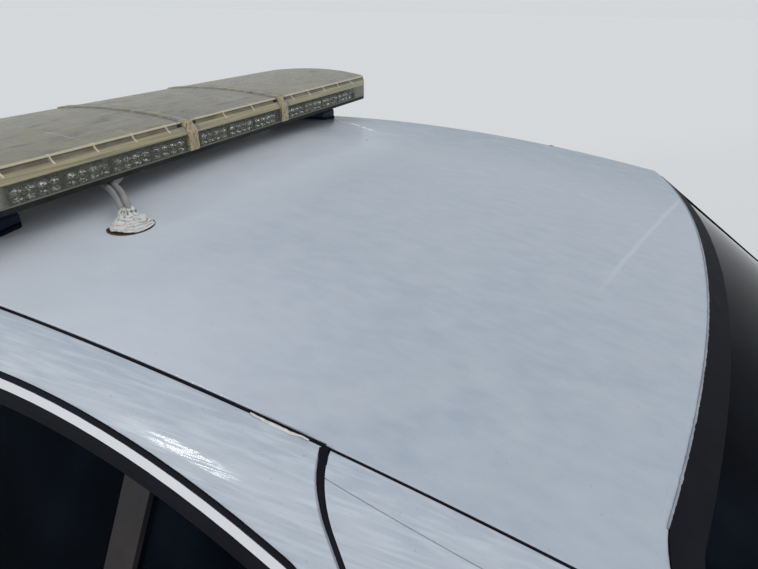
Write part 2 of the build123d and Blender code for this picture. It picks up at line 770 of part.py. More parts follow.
def lens_section():
    """Moulded cross-section: lip, face, bulging ledge, groove, top bead and crowned top."""
    half = BAR_DEPTH / 2
    face = half - FACE_RECESS
    groove_start, groove_end = groove_run()
    bead_end = groove_end + BEAD_WIDTH
    steps = [
        (half, LENS_BOTTOM), (half, LENS_BOTTOM + LIP_HEIGHT),
        (face, LENS_BOTTOM + LIP_HEIGHT + FACE_RECESS),
        (face, LENS_BOTTOM + BAR_FACE_HEIGHT - FACE_RECESS), slope_point(0.0),
    ]
    ledge = [steps[-1], slope_point(LEDGE_RUN / 2, LEDGE_BULGE), slope_point(groove_start)]
    groove = [
        ledge[-1], slope_point(groove_start, -GROOVE_DEPTH),
        slope_point(groove_end, -GROOVE_DEPTH), slope_point(groove_end),
    ]
    bead = [groove[-1], slope_point(groove_end + BEAD_WIDTH / 2, BEAD_BULGE), slope_point(bead_end)]
    edges = []
    for sign in (1, -1):
        def at(point):
            return (BAR_CENTRE_Y + sign * point[0], point[1])

        for row in (steps, groove):
            edges += [Line(at(a), at(b)) for a, b in zip(row, row[1:])]
        edges += [ThreePointArc(*(at(point) for point in row)) for row in (ledge, bead)]
    y, z = bead[-1]
    top = (BAR_CENTRE_Y, z + BAR_CROWN)
    edges.append(ThreePointArc((BAR_CENTRE_Y + y, z), top, (BAR_CENTRE_Y - y, z)))
    edges.append(Line((BAR_CENTRE_Y + half, LENS_BOTTOM), (BAR_CENTRE_Y - half, LENS_BOTTOM)))
    return make_face(edges)


def lens_rib(x):
    """Thin web across each groove, flush with the ledge and the bead beside it."""
    start, end = groove_run()
    inside = -GROOVE_DEPTH - BAR_WALL / 4
    corners = [slope_point(start, inside), slope_point(start), slope_point(end), slope_point(end, inside)]
    webs = []
    for sign in (1, -1):
        outline = [(BAR_CENTRE_Y + sign * y, z, 0) for y, z in corners]
        place = Plane.YZ.offset(x - RIB_WIDTH / 2)
        webs.append(extrude(place * rounded_outline(outline), RIB_WIDTH))
    return webs


def bar_body(section, grow, low_x, high_x):
    """Length of a cross-section between two places, within the bar's plan grown by a distance."""
    run = extrude(Plane.YZ.offset(low_x) * section, high_x - low_x)
    half, depth = BAR_LENGTH / 2 + grow, BAR_DEPTH / 2 + grow
    tip = half + BAR_BULGE * 2
    corner = max(BAR_CORNER + grow, 1.0)
    plan = rounded_outline([
        (half, depth, corner), (tip, 0, 420.0), (half, -depth, corner),
        (-half, -depth, corner), (-tip, 0, 420.0), (-half, depth, corner),
    ])
    block = extrude(Pos(0, BAR_CENTRE_Y, BAR_BOTTOM - 50.0) * plan, 300.0)
    return run & block


def rib_places():
    """Where the ribs stand along each of the three lenses."""
    inner, outer = BAND_X - BAND_WIDTH / 2, BAND_X + BAND_WIDTH / 2
    bay = 2 * inner / (MIDDLE_RIBS + 1)
    count = int((BAR_LENGTH / 2 - BAR_CORNER - outer - RIB_START) / RIB_PITCH) + 1
    left = [outer + RIB_START + i * RIB_PITCH for i in range(count)]
    return {
        "bar_lens_middle": [-inner + (i + 1) * bay for i in range(MIDDLE_RIBS)],
        "bar_lens_left": left,
        "bar_lens_right": [-x for x in left],
    }


def make_bar_lenses():
    """Three moulded lenses, each with its ribs, and the two bands that cover the joints."""
    lens_end = BAR_LENGTH
    cuts = BAND_X - BAND_WIDTH / 2, BAND_X + BAND_WIDTH / 2
    inner_section = bar_outline_across(-BAR_WALL - GROOVE_DEPTH / 2)
    hollow = bar_body(inner_section, -BAR_WALL, -lens_end, lens_end)
    hollow = hollow + Pos(0, 0, -2 * BAR_WALL - GROOVE_DEPTH) * hollow
    spans = {
        "bar_lens_middle": (-cuts[0] + CLEAR, cuts[0] - CLEAR),
        "bar_lens_left": (cuts[1] + CLEAR, lens_end),
        "bar_lens_right": (-lens_end, -cuts[1] - CLEAR),
    }
    section = lens_section()
    ribs = rib_places()
    for name, (low, high) in spans.items():
        lens = bar_body(section, 0.0, low, high)
        for x in ribs[name]:
            lens = lens + lens_rib(x)
        parts[name] = lens - hollow
    bands = []
    for sign in (1, -1):
        low, high = sorted((sign * cuts[0], sign * cuts[1]))
        bands.append(bar_body(bar_outline_across(BAND_PROUD), BAND_PROUD, low, high) - hollow)
    parts["bar_joint_bands"] = bands[0] + bands[1]


def make_bar_base():
    tray = bar_body(bar_outline_across(-BASE_INSET), -BASE_INSET, -BAR_LENGTH, BAR_LENGTH)
    slab = Pos(0, BAR_CENTRE_Y, BAR_BOTTOM + BAR_BASE_HEIGHT / 2)
    slab = slab * Box(3 * BAR_LENGTH, 2 * BAR_DEPTH, BAR_BASE_HEIGHT - CLEAR)
    parts["bar_base"] = (Pos(0, 0, -BAR_BASE_HEIGHT) * tray) & slab


def led_places():
    """Middles of the lamp modules: as many as fit in each of the three lens sections."""
    pitch = LED_LENGTH + LED_GAP
    inner = BAND_X - BAND_WIDTH / 2 - LED_BAND_SPACE
    outer = BAND_X + BAND_WIDTH / 2 + LED_BAND_SPACE
    end = BAR_LENGTH / 2 - LED_END_SPACE
    places = []
    for low, high in ((-end, -outer), (-inner, inner), (outer, end)):
        count = int((high - low + LED_GAP) / pitch)
        first = (low + high) / 2 - (count - 1) * pitch / 2
        places += [first + i * pitch for i in range(count)]
    return places


def led_module():
    """Lamp block, looking to the rear, with rows of tapered reflector cups in its face."""
    cell_x, cell_z = LED_LENGTH / LED_COLUMNS, LED_HEIGHT / LED_ROWS
    mouth = Rectangle(cell_x - LED_RIM, cell_z - LED_RIM)
    face = Plane(origin=(0, LED_DEPTH / 2, 0), x_dir=(1, 0, 0), z_dir=(0, -1, 0))
    cup = extrude(face * mouth, LED_CUP_DEPTH, taper=LED_CUP_TAPER)
    body = Box(LED_LENGTH, LED_DEPTH, LED_HEIGHT)
    cups = []
    for column in range(LED_COLUMNS):
        for row in range(LED_ROWS):
            x = (column - (LED_COLUMNS - 1) / 2) * cell_x
            z = (row - (LED_ROWS - 1) / 2) * cell_z
            cups.append(Pos(x, 0, z) * cup)
    return body - cups


def make_leds():
    module = led_module()
    z = LENS_BOTTOM + LED_RAISE + LED_HEIGHT / 2
    reach = BAR_DEPTH / 2 - BAR_WALL - LED_BEHIND_LENS - LED_DEPTH / 2
    for name, facing, turn in (("bar_lamps_rear", 1, 0), ("bar_lamps_front", -1, 180)):
        y = BAR_CENTRE_Y + facing * reach
        row = [Pos(x, y, z) * Rot(0, 0, turn) * module for x in led_places()]
        parts[name] = Compound(children=row)


def make_bar_feet():
    """Each end stands on a foot with a rubber pad, held by a strap hooked in the roof gap."""
    skin_top = PAD_THICK + CLEAR
    side = rounded_outline([
        (BAR_CENTRE_Y - FOOT_TOP_LENGTH / 2, BAR_BOTTOM, 0),
        (BAR_CENTRE_Y + FOOT_TOP_LENGTH / 2, BAR_BOTTOM, 0),
        (BAR_CENTRE_Y + FOOT_LENGTH / 2, ROOF_HEIGHT, 0),
        (BAR_CENTRE_Y + FOOT_LENGTH / 2, ROOF_HEIGHT - SKY, 0),
        (BAR_CENTRE_Y - FOOT_LENGTH / 2, ROOF_HEIGHT - SKY, 0),
        (BAR_CENTRE_Y - FOOT_LENGTH / 2, ROOF_HEIGHT, 0),
    ])
    foot = extrude(Plane.YZ.offset(FOOT_X - FOOT_WIDTH / 2) * side, FOOT_WIDTH)
    both_sides("bar_foot", foot - roof_layer(-skin_top - CLEAR, SKY))
    pad = RectangleRounded(FOOT_WIDTH, FOOT_LENGTH + PAD_EXTRA, FOOT_CORNER)
    pad = extrude(Pos(FOOT_X, BAR_CENTRE_Y, 0) * pad, BAR_BOTTOM)
    both_sides("bar_pad", pad & roof_layer(-skin_top, -CLEAR))
    start_x = FOOT_X + FOOT_WIDTH / 2 + CLEAR
    reach_y = BAR_CENTRE_Y
    hook_clear = CLEAR + GAP_SPREAD * HOOK_WIDTH / 2
    end_x = gap_half(reach_y) - PANEL_GAP + hook_clear + STRAP_THICK
    run_x = start_x, end_x
    low = roof_z(end_x, reach_y) - HOOK_DEPTH
    skin = roof_layer(-CLEAR - STRAP_LIFT - STRAP_THICK, -CLEAR - STRAP_LIFT)
    middle = (run_x[0] + run_x[1]) / 2
    width = run_x[1] - run_x[0]
    run = skin & Pos(middle, reach_y, BAR_BOTTOM) * Box(width, STRAP_WIDTH, SKY)
    tab_low = roof_z(start_x, reach_y) + CLEAR + STRAP_LIFT
    tab_high = BAR_BOTTOM - CLEAR
    tab = Pos(start_x + STRAP_THICK / 2, reach_y, (tab_low + tab_high) / 2)
    tab = tab * Box(STRAP_THICK, STRAP_WIDTH, tab_high - tab_low)
    hook_high = roof_z(end_x, reach_y) + CLEAR + STRAP_LIFT + STRAP_THICK
    hook = Pos(end_x - STRAP_THICK / 2, reach_y, (low + hook_high) / 2)
    hook = hook * Box(STRAP_THICK, HOOK_WIDTH, hook_high - low)
    both_sides("bar_strap", tab + run + hook)


# Cable pair and the sealed hole that it enters
CABLE_ROUTES = {
    # x, y and height over the roof's peak, from the bar's underside to the seal
    "bar_cable_rear": (
        (356.0, -170.0, 34.0), (357.0, -158.0, 22.0), (366.0, -136.0, 19.0),
        (380.0, -108.0, 22.0), (394.0, -82.0, 17.0), (403.0, -66.0, 2.0),
    ),
    "bar_cable_front": (
        (369.0, -176.0, 34.0), (371.0, -163.0, 21.0), (379.0, -141.0, 17.0),
        (392.0, -113.0, 20.0), (405.0, -88.0, 16.0), (413.0, -71.0, 1.0),
    ),
}


def cable_radii(points):
    """Bend radius at each inner point: 0.45 of the shorter run over the tangent of half the turn."""
    radii = []
    for before, here, after in zip(points, points[1:], points[2:]):
        run_in, run_out = here - before, after - here
        turn = radians(run_in.get_angle(run_out))
        radii.append(0.45 * min(run_in.length, run_out.length) / tan(turn / 2))
    return radii


def make_cables():
    for name, route in CABLE_ROUTES.items():
        points = [Vector(x, y, ROOF_HEIGHT + z) for x, y, z in route]
        radii = cable_radii(points)
        path = FilletPolyline(*points, radius=radii)
        profile = Plane(origin=path @ 0, z_dir=path % 0) * Circle(CABLE_DIAMETER / 2)
        tube = sweep(profile, path=path)
        section = Circle(CABLE_DIAMETER / 2).area
        print(name, "length", round(path.length, 1), "radii", [round(r, 1) for r in radii],
              "volume ratio", round(tube.volume / section / path.length, 4))
        parts[name] = tube


def make_cable_seal():
    """Mound with a hollow flank and a flat crown, seated on the roof's slope."""
    outer, crown = SEAL_MOUND_RADIUS, SEAL_CROWN_RADIUS
    foot = roof_z(SEAL_MOUND_X + outer, SEAL_MOUND_Y)
    base, top = foot - SEAL_MOUND_HEIGHT, foot + SEAL_MOUND_HEIGHT
    flank = (SEAL_FLANK_RADIUS, foot + SEAL_FLANK_HEIGHT)
    profile = make_face([
        Line((0, base), (outer, base)), Line((outer, base), (outer, foot)),
        ThreePointArc((outer, foot), flank, (crown, top)),
        Line((crown, top), (0, top)), Line((0, top), (0, base)),
    ])
    mound = Pos(SEAL_MOUND_X, SEAL_MOUND_Y, 0) * revolve(Plane.XZ * profile, Axis.Z)
    parts["cable_seal"] = mound - roof_layer(-CLEAR, SKY)


# Cabin fittings
def visor_place():
    """Middle of the left visor across the car, and its hinge line's y and z."""
    hinge_y = windshield.origin.Y + VISOR_BACK
    outer_x = gap_half(hinge_y) - RAIL_REACH - VISOR_SIDE_CLEAR
    middle_x = outer_x - VISOR_ROD_REACH - VISOR_LENGTH / 2
    drop = lining_depth + VISOR_DROP
    lowest_roof = roof_z(middle_x + VISOR_LENGTH / 2, hinge_y + VISOR_DEPTH)
    return middle_x, hinge_y, lowest_roof - drop


def make_visors():
    """Padded visors on rods, each rod in two holders that reach up to the headliner."""
    middle_x, hinge_y, hinge_z = visor_place()
    print("visor hinge", round(middle_x, 2), round(hinge_y, 2), round(hinge_z, 2))
    rod = Cylinder(VISOR_ROD_DIAMETER / 2, VISOR_LENGTH + 2 * VISOR_ROD_REACH, rotation=(0, 90, 0))
    rod = Pos(middle_x, hinge_y, hinge_z) * rod
    pad = Box(VISOR_LENGTH, VISOR_DEPTH, VISOR_THICK)
    pad = fillet(pad.edges().filter_by(Axis.X), VISOR_EDGE_RADIUS)
    pad = Pos(middle_x, hinge_y + VISOR_DEPTH / 2 - VISOR_THICK / 2, hinge_z) * pad
    both_sides("sun_visor", pad + rod)
    reach = VISOR_LENGTH / 2 + VISOR_ROD_REACH - HOLDER_WIDTH / 2
    high = above(hinge_z - HOLDER_WIDTH / 2)
    bore = Cylinder(VISOR_ROD_DIAMETER / 2 + VISOR_ROD_CLEAR, FAR, rotation=(0, 90, 0))
    pair = []
    for end in (-1, 1):
        x = middle_x + end * reach
        pair.append(Pos(x, hinge_y, hinge_z) * Box(HOLDER_WIDTH, HOLDER_WIDTH, SKY) & high)
    pair = (pair[0] + pair[1]) - Pos(0, hinge_y, hinge_z) * bore
    ends = over_screen(windshield, seal_depth + HEADER_THICK + CLEAR)
    both_sides("visor_holders", pair - over_roof(lining_depth + CLEAR) - ends)


def make_cabin_fittings():
    """Dome lamp under the headliner, and the cabin mirror on its stalk."""
    lamp_at = Pos(0, DOME_LAMP_Y, ROOF_HEIGHT - lining_depth)
    lamp = lamp_at * Box(DOME_LAMP_WIDTH, DOME_LAMP_LENGTH, 2 * DOME_LAMP_DEPTH)
    parts["dome_lamp"] = lamp - over_roof(lining_depth + CLEAR)
    place = windshield.face * Pos(0, windshield.facing * MIRROR_DOWN, -seal_depth)
    stalk = place * Pos(0, 0, -STALK_LENGTH / 2) * Box(STALK_WIDTH, STALK_WIDTH, STALK_LENGTH)
    stalk_end = windshield.point(0, MIRROR_DOWN) - windshield.normal * (seal_depth + STALK_LENGTH)
    head_at = stalk_end + Vector(0, MIRROR_BACK, -MIRROR_DROP)
    head = Pos(head_at.X, head_at.Y, head_at.Z) * Box(MIRROR_WIDTH, MIRROR_THICK, MIRROR_HEIGHT)
    parts["cabin_mirror"] = fillet(head.edges().filter_by(Axis.Y), MIRROR_CORNER) + stalk


make_doors()
make_screens()
make_screen_feet()
make_pillars()
make_roof()
make_side_frames()
make_headers()
make_headliner()
make_bar_lenses()
make_bar_base()
make_leds()
make_bar_feet()
make_cables()
make_cable_seal()
make_visors()
make_cabin_fittings()

os.makedirs("parts", exist_ok=True)
for name, solid in parts.items():
    solids = solid.solids()
    export_step(Compound(children=list(solids)), "parts/" + name + ".step")
    print(name, len(solids), "solids", round(solid.volume / 1000.0, 1), "cm3")
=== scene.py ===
# %% [markdown]
# # Roof section of a patrol car, with its light bar
# The model that the drawing office packed is loaded as a fixed frame: roof, door tops, glass,
# light bar, cables and visors are already at their real size. This lesson dresses them. Each
# step first says what the piece or finish is on the real car, how it could be made, and why
# one way was chosen. Lengths are metres; +X is the car's left, +Y its rear, +Z up.

# %% Load the frame
import json
import math

import bmesh
import bpy
from mathutils import Matrix, Vector, noise

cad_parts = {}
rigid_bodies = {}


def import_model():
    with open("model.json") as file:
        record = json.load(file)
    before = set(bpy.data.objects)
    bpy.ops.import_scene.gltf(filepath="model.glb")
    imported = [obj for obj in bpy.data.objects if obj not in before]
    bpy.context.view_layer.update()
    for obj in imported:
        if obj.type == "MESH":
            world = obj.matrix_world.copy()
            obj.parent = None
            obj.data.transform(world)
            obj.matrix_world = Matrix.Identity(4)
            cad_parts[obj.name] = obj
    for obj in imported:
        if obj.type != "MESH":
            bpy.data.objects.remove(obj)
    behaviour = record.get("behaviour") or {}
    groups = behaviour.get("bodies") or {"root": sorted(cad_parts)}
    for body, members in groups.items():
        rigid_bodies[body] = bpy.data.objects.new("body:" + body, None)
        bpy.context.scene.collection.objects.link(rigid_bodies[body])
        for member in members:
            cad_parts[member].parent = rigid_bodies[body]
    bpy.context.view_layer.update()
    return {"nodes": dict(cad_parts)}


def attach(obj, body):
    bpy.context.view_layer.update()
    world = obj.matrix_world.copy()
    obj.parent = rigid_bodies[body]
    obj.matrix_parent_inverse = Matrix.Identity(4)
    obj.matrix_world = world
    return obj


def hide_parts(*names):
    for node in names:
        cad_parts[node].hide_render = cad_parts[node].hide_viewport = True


for thing in list(bpy.data.objects):
    bpy.data.objects.remove(thing)
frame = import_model()
nodes = frame["nodes"]

# %% [markdown]
# ## Camera
# The photograph was taken beside the rear left door, looking down across the roof. Straight
# edges of known length fixed where the lens stood. The heading is measured from straight
# across the car, the pitch is downwards, and the roll is the slight tilt of a hand-held shot.

# %% Camera
PICTURE_WIDTH = 758
FOCAL_PIXELS = 570.0
SENSOR = 36.0
CAMERA_PLACE = Vector((0.9898, 0.60, 0.8434))
HEADING = math.radians(23.441)
PITCH = math.radians(26.634)
ROLL = math.radians(0.649)

level = Vector((-math.cos(HEADING), -math.sin(HEADING), 0))
forward = level * math.cos(PITCH) - Vector((0, 0, math.sin(PITCH)))
flat_right = forward.cross(Vector((0, 0, 1))).normalized()
flat_up = flat_right.cross(forward)
right = flat_right * math.cos(ROLL) + flat_up * math.sin(ROLL)
up = flat_up * math.cos(ROLL) - flat_right * math.sin(ROLL)

lens = bpy.data.cameras.new("camera")
lens.sensor_width = SENSOR
lens.lens = FOCAL_PIXELS / PICTURE_WIDTH * SENSOR
lens.clip_start = 0.02
camera = bpy.data.objects.new("camera", lens)
bpy.context.scene.collection.objects.link(camera)
turn = Matrix((right, up, -forward)).transposed().to_4x4()
camera.matrix_world = Matrix.Translation(CAMERA_PLACE) @ turn
bpy.context.scene.camera = camera
print("camera lens", round(lens.lens, 2), "mm")

# %% [markdown]
# ## The cable pair
# Two cables leave the bar's underside, bend over and run down into a lump of sealant on the
# roof. A cable is a smooth, fairly stiff line, so each is one spline whose control points are
# the route that the maker chose, given a round section. The bevel is one metre and every
# point's radius is the cable's own, because a curve's box is measured by its radius alone.

# %% Cables
ROOF_PEAK = 0.550
CABLE_THICK = 0.010
CABLE_ROUTES = {
    # across, along, height over the roof's peak
    "cable_rear": (
        (0.3440, -0.1700, 0.0340), (0.3425, -0.1590, 0.0245), (0.3500, -0.1370, 0.0225),
        (0.3710, -0.1040, 0.0235), (0.3890, -0.0770, 0.0180), (0.3950, -0.0640, 0.0030),
    ),
    "cable_front": (
        (0.3545, -0.1785, 0.0340), (0.3515, -0.1680, 0.0230), (0.3565, -0.1470, 0.0205),
        (0.3770, -0.1135, 0.0215), (0.3945, -0.0865, 0.0165), (0.4000, -0.0735, 0.0020),
    ),
}


def lay_cable(name, route, thick):
    line = bpy.data.curves.new(name, "CURVE")
    line.dimensions = "3D"
    line.bevel_depth = 1.0
    line.bevel_resolution = 5
    line.resolution_u = 24
    line.use_fill_caps = True
    run = line.splines.new("NURBS")
    run.points.add(len(route) - 1)
    for point, (x, y, over) in zip(run.points, route):
        point.co = (x, y, ROOF_PEAK + over, 1)
        point.radius = thick / 2
    run.order_u = 3
    run.use_endpoint_u = True
    piece = bpy.data.objects.new(name, line)
    bpy.context.scene.collection.objects.link(piece)
    return piece


cables = {}
for name, route in CABLE_ROUTES.items():
    piece = lay_cable(name, route, CABLE_THICK)
    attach(piece, "shell")
    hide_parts("bar_" + name)
    cables[name] = piece
print("cables", list(cables))

# %% [markdown]
# ## Roof shape in numbers
# Pieces that lie on the roof need its height and its side line. The roof was drawn as a
# crowned cross-section swung about a far axis, so two short formulas give any point of it.
# Asking the formula is more exact than feeling for the surface with rays.

# %% Roof formulas
PEAK_Y = -0.117
LENGTH_RADIUS = 4.643
CENTRE_RADIUS = 7.0
EDGE_RADIUS = 2.6
CENTRE_HALF = 0.430
GAP_AT_PEAK = 0.6302
GAP_SPREAD = 0.0398
GAP_WIDTH = 0.005


def crown_drop(x):
    """How far the roof's cross-section has fallen at a distance x from the middle."""
    x = abs(x)
    if x <= CENTRE_HALF:
        return x * x / 2 / CENTRE_RADIUS
    past = x - CENTRE_HALF
    start = CENTRE_HALF ** 2 / 2 / CENTRE_RADIUS
    return start + past * CENTRE_HALF / CENTRE_RADIUS + past * past / 2 / EDGE_RADIUS


def roof_height(x, y):
    radius = LENGTH_RADIUS - crown_drop(x)
    return ROOF_PEAK - LENGTH_RADIUS + math.sqrt(radius ** 2 - (y - PEAK_Y) ** 2)


def gap_line(y):
    """Distance of the roof's side gap from the middle of the car."""
    return GAP_AT_PEAK + GAP_SPREAD * (y - PEAK_Y)


print("roof edge at the bar", round(gap_line(-0.3), 4), "high", round(roof_height(0.62, -0.3), 4))

# %% [markdown]
# ## Making a piece
# Each added piece is a mesh built point by point. One helper turns points and faces into an
# object, rounds its shading, ties it to the shell, which none of them leaves, and names its
# finish, so that no piece can be forgotten on the way. Most forms are rings of points in a
# row, so a second helper skins those, and a third joins many small forms into one mesh.

# %% Piece helper
made_pieces = []


def make_piece(name, points, faces, finish, smooth=True):
    mesh = bpy.data.meshes.new(name)
    mesh.from_pydata([tuple(p) for p in points], [], faces)
    mesh.validate()
    form = bmesh.new()
    form.from_mesh(mesh)
    bmesh.ops.recalc_face_normals(form, faces=form.faces)
    form.to_mesh(mesh)
    form.free()
    for face in mesh.polygons:
        face.use_smooth = smooth
    piece = bpy.data.objects.new(name, mesh)
    bpy.context.scene.collection.objects.link(piece)
    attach(piece, "shell")
    made_pieces.append((piece, finish))
    return piece


def skin_rings(rings, close_ends=True):
    """Faces that join rings of equal length into a tube, with a cap at each end if asked."""
    count = len(rings[0])
    points = [p for ring in rings for p in ring]
    faces = []
    for i in range(len(rings) - 1):
        for j in range(count):
            k = (j + 1) % count
            faces.append((i * count + j, i * count + k, (i + 1) * count + k, (i + 1) * count + j))
    if close_ends:
        faces.append(tuple(range(count))[::-1])
        faces.append(tuple((len(rings) - 1) * count + j for j in range(count)))
    return points, faces


def gather(shapes, close_ends):
    """Points and faces of several ringed shapes, as one mesh."""
    points, faces = [], []
    for rings in shapes:
        more, joins = skin_rings(rings, close_ends)
        faces += [tuple(i + len(points) for i in face) for face in joins]
        points += more
    return points, faces


def circle(count):
    """Angles of equal steps round a circle."""
    return [2 * math.pi * j / count for j in range(count)]


def wobble(place, size, seed):
    """Smooth change from about -1 to 1 over lumps of a given size."""
    return noise.noise(Vector(place) / size + Vector((seed, 7.0 * seed, 3.0)))


print("piece helpers ready")

# %% [markdown]
# ## Heap of sealant
# Whoever fitted the bar pressed a fistful of white sealant round the cables where they enter
# the roof. Its bulk is a low heap that leans towards the cables, and on the side away from
# them its edge has lifted. Rings of shrinking reach, each a little further over, give that
# bulk. The edge wavers, and is raised where it has come off.

# %% Heap of sealant
MOUND_AT = Vector((0.405, -0.056))
MOUND_RADIUS = 0.0325
MOUND_HEIGHT = 0.0195
MOUND_SINK = 0.0008
HEAP_STEPS, HEAP_POINTS = 14, 64
HEAP_ROUNDNESS = 0.62
HEAP_TIP = 0.0004
HEAP_WAVER, WAVER_SIZE = 0.10, 0.6
HEAP_LEAN, LEAN_CURVE = 0.015, 1.4
CABLES_COME_FROM = Vector((-0.42, -0.91))
LIFTED_TOWARDS = math.radians(5.0)
LIFTED_EACH_WAY = 1.25
LIFTED_BY = 0.0032


def lifted_share(angle):
    """1 where the heap's edge has come off the roof, 0 round the back."""
    turn = (angle - LIFTED_TOWARDS + math.pi) % (2 * math.pi) - math.pi
    return max(0.0, 1.0 - (abs(turn) / LIFTED_EACH_WAY) ** 2)


def from_mound(angle, reach):
    """Place on the car, seen from above, at some reach from the heap's middle."""
    return MOUND_AT.x + reach * math.cos(angle), MOUND_AT.y + reach * math.sin(angle)


def heap_point(angle, share):
    way = (math.cos(angle), math.sin(angle), 0)
    edge = MOUND_RADIUS * (1 + HEAP_WAVER * wobble(way, WAVER_SIZE, 2.0))
    x, y = from_mound(angle, edge * (1 - share) ** HEAP_ROUNDNESS + HEAP_TIP)
    lean = HEAP_LEAN * share ** LEAN_CURVE
    x += CABLES_COME_FROM.x * lean
    y += CABLES_COME_FROM.y * lean
    lift = LIFTED_BY * lifted_share(angle) * (1 - share) ** 3
    return Vector((x, y, roof_height(x, y) + MOUND_HEIGHT * share + lift - MOUND_SINK))


def heap_rings():
    return [[heap_point(angle, step / HEAP_STEPS) for angle in circle(HEAP_POINTS)]
            for step in range(HEAP_STEPS + 1)]


print("heap", HEAP_STEPS + 1, "rings of", HEAP_POINTS, "points")

# %% [markdown]
# ## Sleeves round the cables
# Where a cable leaves the heap, sealant clings to it in a short sleeve that widens downwards.
# It is a row of circles round the cable's last stretch. Heap and sleeves overlap as separate
# skins, so a voxel remesh melts them into one closed skin of even small faces, which the
# folds of the next step need.

# %% Sleeves and melt
SLEEVE_LENGTH = 0.009
SLEEVE_FLARES = (0.0055, 0.0050)
SLEEVE_CURVE = 1.3
SLEEVE_SINK = 0.0004
SLEEVE_STEPS, SLEEVE_POINTS = 6, 20
VOXEL = 0.0009


def sleeve_rings(route, flare):
    """Tapering sleeve round the last stretch of a cable."""
    above, bend, end = [Vector((x, y, ROOF_PEAK + over)) for x, y, over in route[-3:]]
    line = [above.lerp(bend, step / SLEEVE_STEPS) for step in range(SLEEVE_STEPS)]
    line += [bend.lerp(end, step / SLEEVE_STEPS) for step in range(SLEEVE_STEPS + 1)]
    line = [place for place in line if (place - end).length < SLEEVE_LENGTH]
    along = (end - bend).normalized()
    side = along.cross(Vector((0, 0, 1))).normalized()
    over = side.cross(along)
    rings = []
    for i, centre in enumerate(line):
        share = i / (len(line) - 1)
        radius = CABLE_THICK / 2 - SLEEVE_SINK + flare * share ** SLEEVE_CURVE
        rings.append([centre + side * radius * math.cos(a) + over * radius * math.sin(a)
                      for a in circle(SLEEVE_POINTS)])
    return rings


def make_mound():
    sleeves = [sleeve_rings(*pair) for pair in zip(CABLE_ROUTES.values(), SLEEVE_FLARES)]
    made = make_piece("sealant_mound", *gather([heap_rings(), *sleeves], True), "roof_sealant")
    melt = made.modifiers.new("melt", "REMESH")
    melt.mode = "VOXEL"
    melt.voxel_size = VOXEL
    view = bpy.context.evaluated_depsgraph_get()
    melted = bpy.data.meshes.new_from_object(made.evaluated_get(view))
    made.modifiers.clear()
    made.data = melted
    return made


mound = make_mound()
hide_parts("cable_seal")
print("melted skin", len(mound.data.polygons), "faces")

# %% [markdown]
# ## Folds in the sealant
# The sealant was worked with the fingers, so folds lie round the heap below and run up to the
# cables above. Each point of the skin is pushed along its own normal by the height of two
# noises, one stretched round the heap and one stretched up it. Points near the roof move
# less, so that the foot stays on the paint.

# %% Folds in the sealant
FOLD_DEPTH = 0.0040
FOLD_LEVEL = 0.35
FOLD_SOFTEN = 0.5
FOOT_HEIGHT = 0.004
FOOT_SHARE = 0.15
# folds laid round the heap: how far apart, how much they turn with the way round, strength
RING_APART, RING_TURN, RING_STRENGTH = 0.0062, 1.3, 1.7
BEND_SIZE, BEND_STRENGTH = 0.014, 0.5
# folds running up to the cables: size, spread round and up, strength below and near the top
RUN_SIZE, RUN_ROUND, RUN_UP = 0.0046, 0.011, 0.22
RUN_BELOW, RUN_NEAR = 0.7, 2.0
NEAR_REACH = 0.024
CREASE_SIZE, CREASE_STRENGTH = 0.0024, 0.12
ALL_DOWN = 0.25


def fold_height(place):
    """Height of the folds: laid in rings below, and running up to the cables above."""
    top = MOUND_AT + CABLES_COME_FROM * HEAP_LEAN
    away = Vector((place.x, place.y)) - top
    reach = away.length
    way = away.normalized()
    round_about = reach / RING_APART + BEND_STRENGTH * wobble(place, BEND_SIZE, 5.0)
    rings = abs(wobble((RING_TURN * way.x, RING_TURN * way.y, round_about), 1.0, 1.0))
    runs = abs(wobble((way.x * RUN_ROUND, way.y * RUN_ROUND, reach * RUN_UP), RUN_SIZE, 4.0))
    near = max(0.0, 1.0 - reach / NEAR_REACH)
    laid = rings * RING_STRENGTH * (1 - near)
    risen = runs * (RUN_BELOW + RUN_NEAR * near)
    return laid + risen + CREASE_STRENGTH * wobble(place, CREASE_SIZE, 9.0) - ALL_DOWN


def press_folds(mesh):
    form = bmesh.new()
    form.from_mesh(mesh)
    form.normal_update()
    pushes = [(vert, vert.normal * FOLD_DEPTH * (fold_height(vert.co) - FOLD_LEVEL))
              for vert in form.verts]
    for vert, push in pushes:
        above_roof = vert.co.z - roof_height(vert.co.x, vert.co.y)
        vert.co += push * min(1.0, max(FOOT_SHARE, above_roof / FOOT_HEIGHT))
    bmesh.ops.smooth_vert(form, verts=form.verts, factor=FOLD_SOFTEN,
                          use_axis_x=True, use_axis_y=True, use_axis_z=True)
    form.to_mesh(mesh)
    form.free()
    for face in mesh.polygons:
        face.use_smooth = True


press_folds(mound.data)
print("folds pressed up to", FOLD_DEPTH, "deep")

# %% [markdown]
# ## Rust and painted shadow under the lifted edge
# Where the sealant has come off, water has sat and eaten the paint, and the lifted edge shades
# the roof. Seen from above that is a dark crescent with a brown rim: its near-black inner part
# is a painted shadow and its brown rim is rust. It is its own thin piece on the roof's skin,
# widest near its start and running out to nothing, with a ragged outer edge.

# %% Rust and shadow crescent
RUST_FROM = math.radians(-48.0)
RUST_SWEEP = math.radians(200.0)
RUST_WIDEST = 0.0066
RUST_THINNING = 0.75
RUST_INNER = 0.86
RUST_RAGGED = 0.25
RUST_LIFT, RUST_EDGE_LIFT = 0.0004, 0.00005
RUST_STEPS, RUST_BELTS = 60, 5


